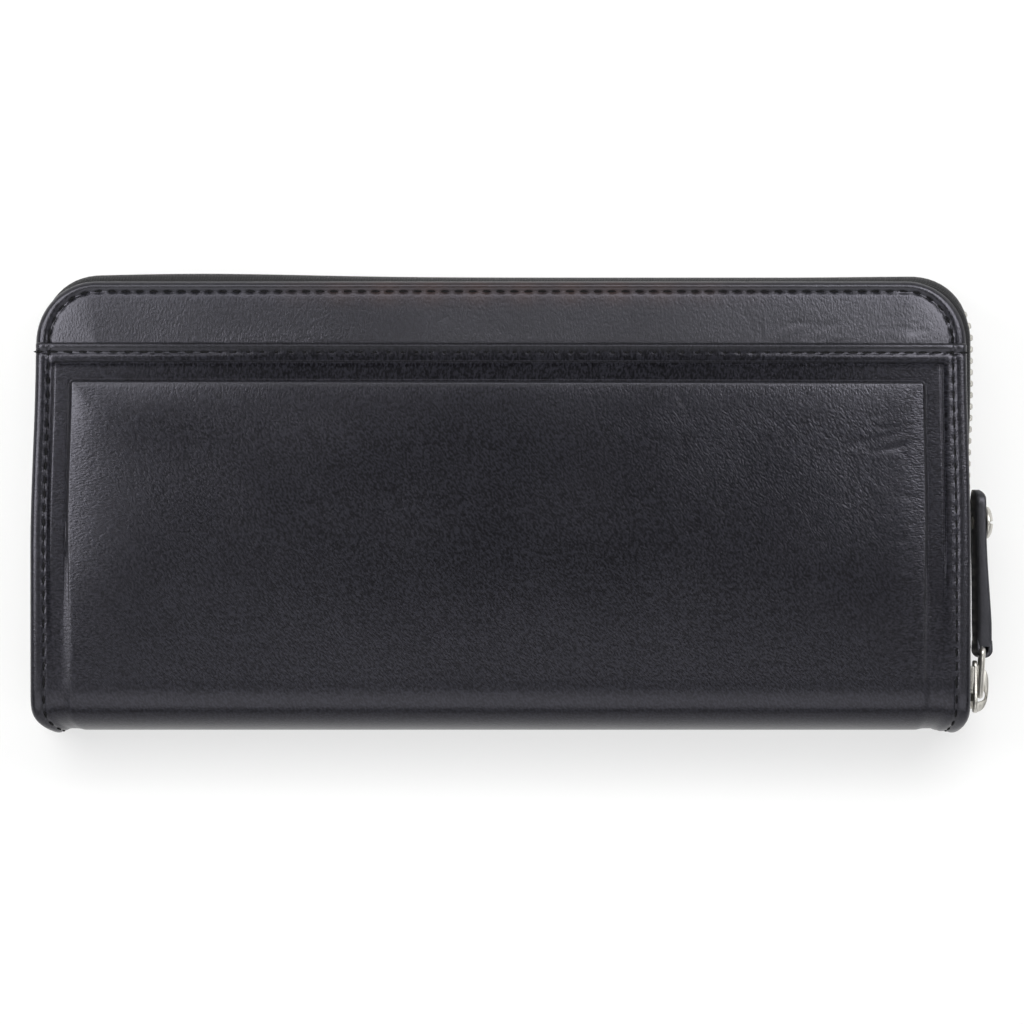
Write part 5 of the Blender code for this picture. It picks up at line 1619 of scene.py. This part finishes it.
# %% Floor and world
def clear_rays(tree):
    """1 for rays from the camera or off a shiny or clear surface, and 1 for the camera's alone."""
    rays = add(tree, "ShaderNodeLightPath").outputs
    seen = maths(tree, "MAXIMUM", rays["Is Camera Ray"], rays["Is Glossy Ray"])
    return maths(tree, "MAXIMUM", seen, rays["Is Transmission Ray"]), rays["Is Camera Ray"]


FLOOR_SIZE, FLOOR_DROP, FLOOR_GLOW = 6000.0, -0.03, 0.6
CEILING = 0.05
floor_mesh = bpy.data.meshes.new("floor")
half = FLOOR_SIZE / 2 * MM
corners = [(-half, -half), (half, -half), (half, half), (-half, half)]
floor_mesh.from_pydata([(x, y, FLOOR_DROP * MM) for x, y in corners], [], [(0, 1, 2, 3)])
floor_finish, tree = start_material("white paper sweep")
clear, camera_ray = clear_rays(tree)
paper = add(tree, "ShaderNodeBsdfDiffuse", {"Color": colour("#f4f4f2")})
glow = add(tree, "ShaderNodeEmission", {"Color": (1, 1, 1, 1), "Strength": 1.0})
lit = add(tree, "ShaderNodeMixShader", {
    0: maths(tree, "MULTIPLY", clear, FLOOR_GLOW), 1: paper.outputs[0], 2: glow.outputs[0],
})
add(tree, "ShaderNodeOutputMaterial", {"Surface": lit.outputs[0]})
floor_mesh.materials.append(floor_finish)
floor = in_scene("floor", floor_mesh)

world = bpy.data.worlds.new("studio")
bpy.context.scene.world = world
world.use_nodes = True
world.node_tree.nodes.clear()
tree = world.node_tree
clear, camera_ray = clear_rays(tree)
way = add(tree, "ShaderNodeTexCoord").outputs["Generated"]
up = add(tree, "ShaderNodeSeparateXYZ", {"Vector": way}).outputs["Z"]
behind = maths(tree, "MAXIMUM", ranged(tree, up, (0.1, 0.45), (1.0, CEILING)), camera_ray)
room = add(tree, "ShaderNodeBackground", {"Color": colour("#eef0f6"), "Strength": 0.22})
white = add(tree, "ShaderNodeBackground", {"Color": (1, 1, 1, 1), "Strength": behind})
sky = add(tree, "ShaderNodeMixShader", {0: clear, 1: room.outputs[0], 2: white.outputs[0]})
add(tree, "ShaderNodeOutputWorld", {"Surface": sky.outputs[0]})
print("floor and world ready")


# %% Soft boxes and camera
def softbox(name, tilt, toward, size, power, distance):
    """A soft box that looks at the wallet; tilt is from straight above, toward is its compass angle."""
    lamp = bpy.data.lights.new(name, "AREA")
    lamp.shape, lamp.size, lamp.size_y, lamp.energy = "RECTANGLE", size[0], size[1], power
    obj = in_scene(name, lamp)
    a, t = math.radians(toward), math.radians(tilt)
    out = distance * math.sin(t)
    obj.location = (out * math.cos(a), out * math.sin(a), distance * math.cos(t))
    obj.rotation_euler = (0, t, a)


softbox("box beyond the zip", 34, 90, (0.24, 0.36), 1.1, 0.74)
softbox("box at the left", 37, 158, (0.14, 0.24), 0.85, 0.38)
softbox("box at the right", 38, 36, (0.14, 0.22), 0.8, 0.38)
softbox("box at the spine", 36, 270, (0.26, 0.5), 0.56, 0.36)

PICTURE, PIXELS_PER_MM, SENSOR = 1024, 4.59, 36.0
CENTRE_X, CENTRE_Y, CAMERA_DISTANCE = 2.5, -1.3, 2500.0
lens = bpy.data.cameras.new("view from above")
lens.sensor_width = SENSOR
lens.lens = SENSOR * CAMERA_DISTANCE / (PICTURE / PIXELS_PER_MM)
lens.clip_end = 20.0
camera = in_scene("view from above", lens)
camera.location = (CENTRE_X * MM, CENTRE_Y * MM, (THICK + CAMERA_DISTANCE) * MM)
bpy.context.scene.camera = camera
bpy.context.scene.view_settings.view_transform = "Standard"
print(f"lens {lens.lens:.0f} mm")
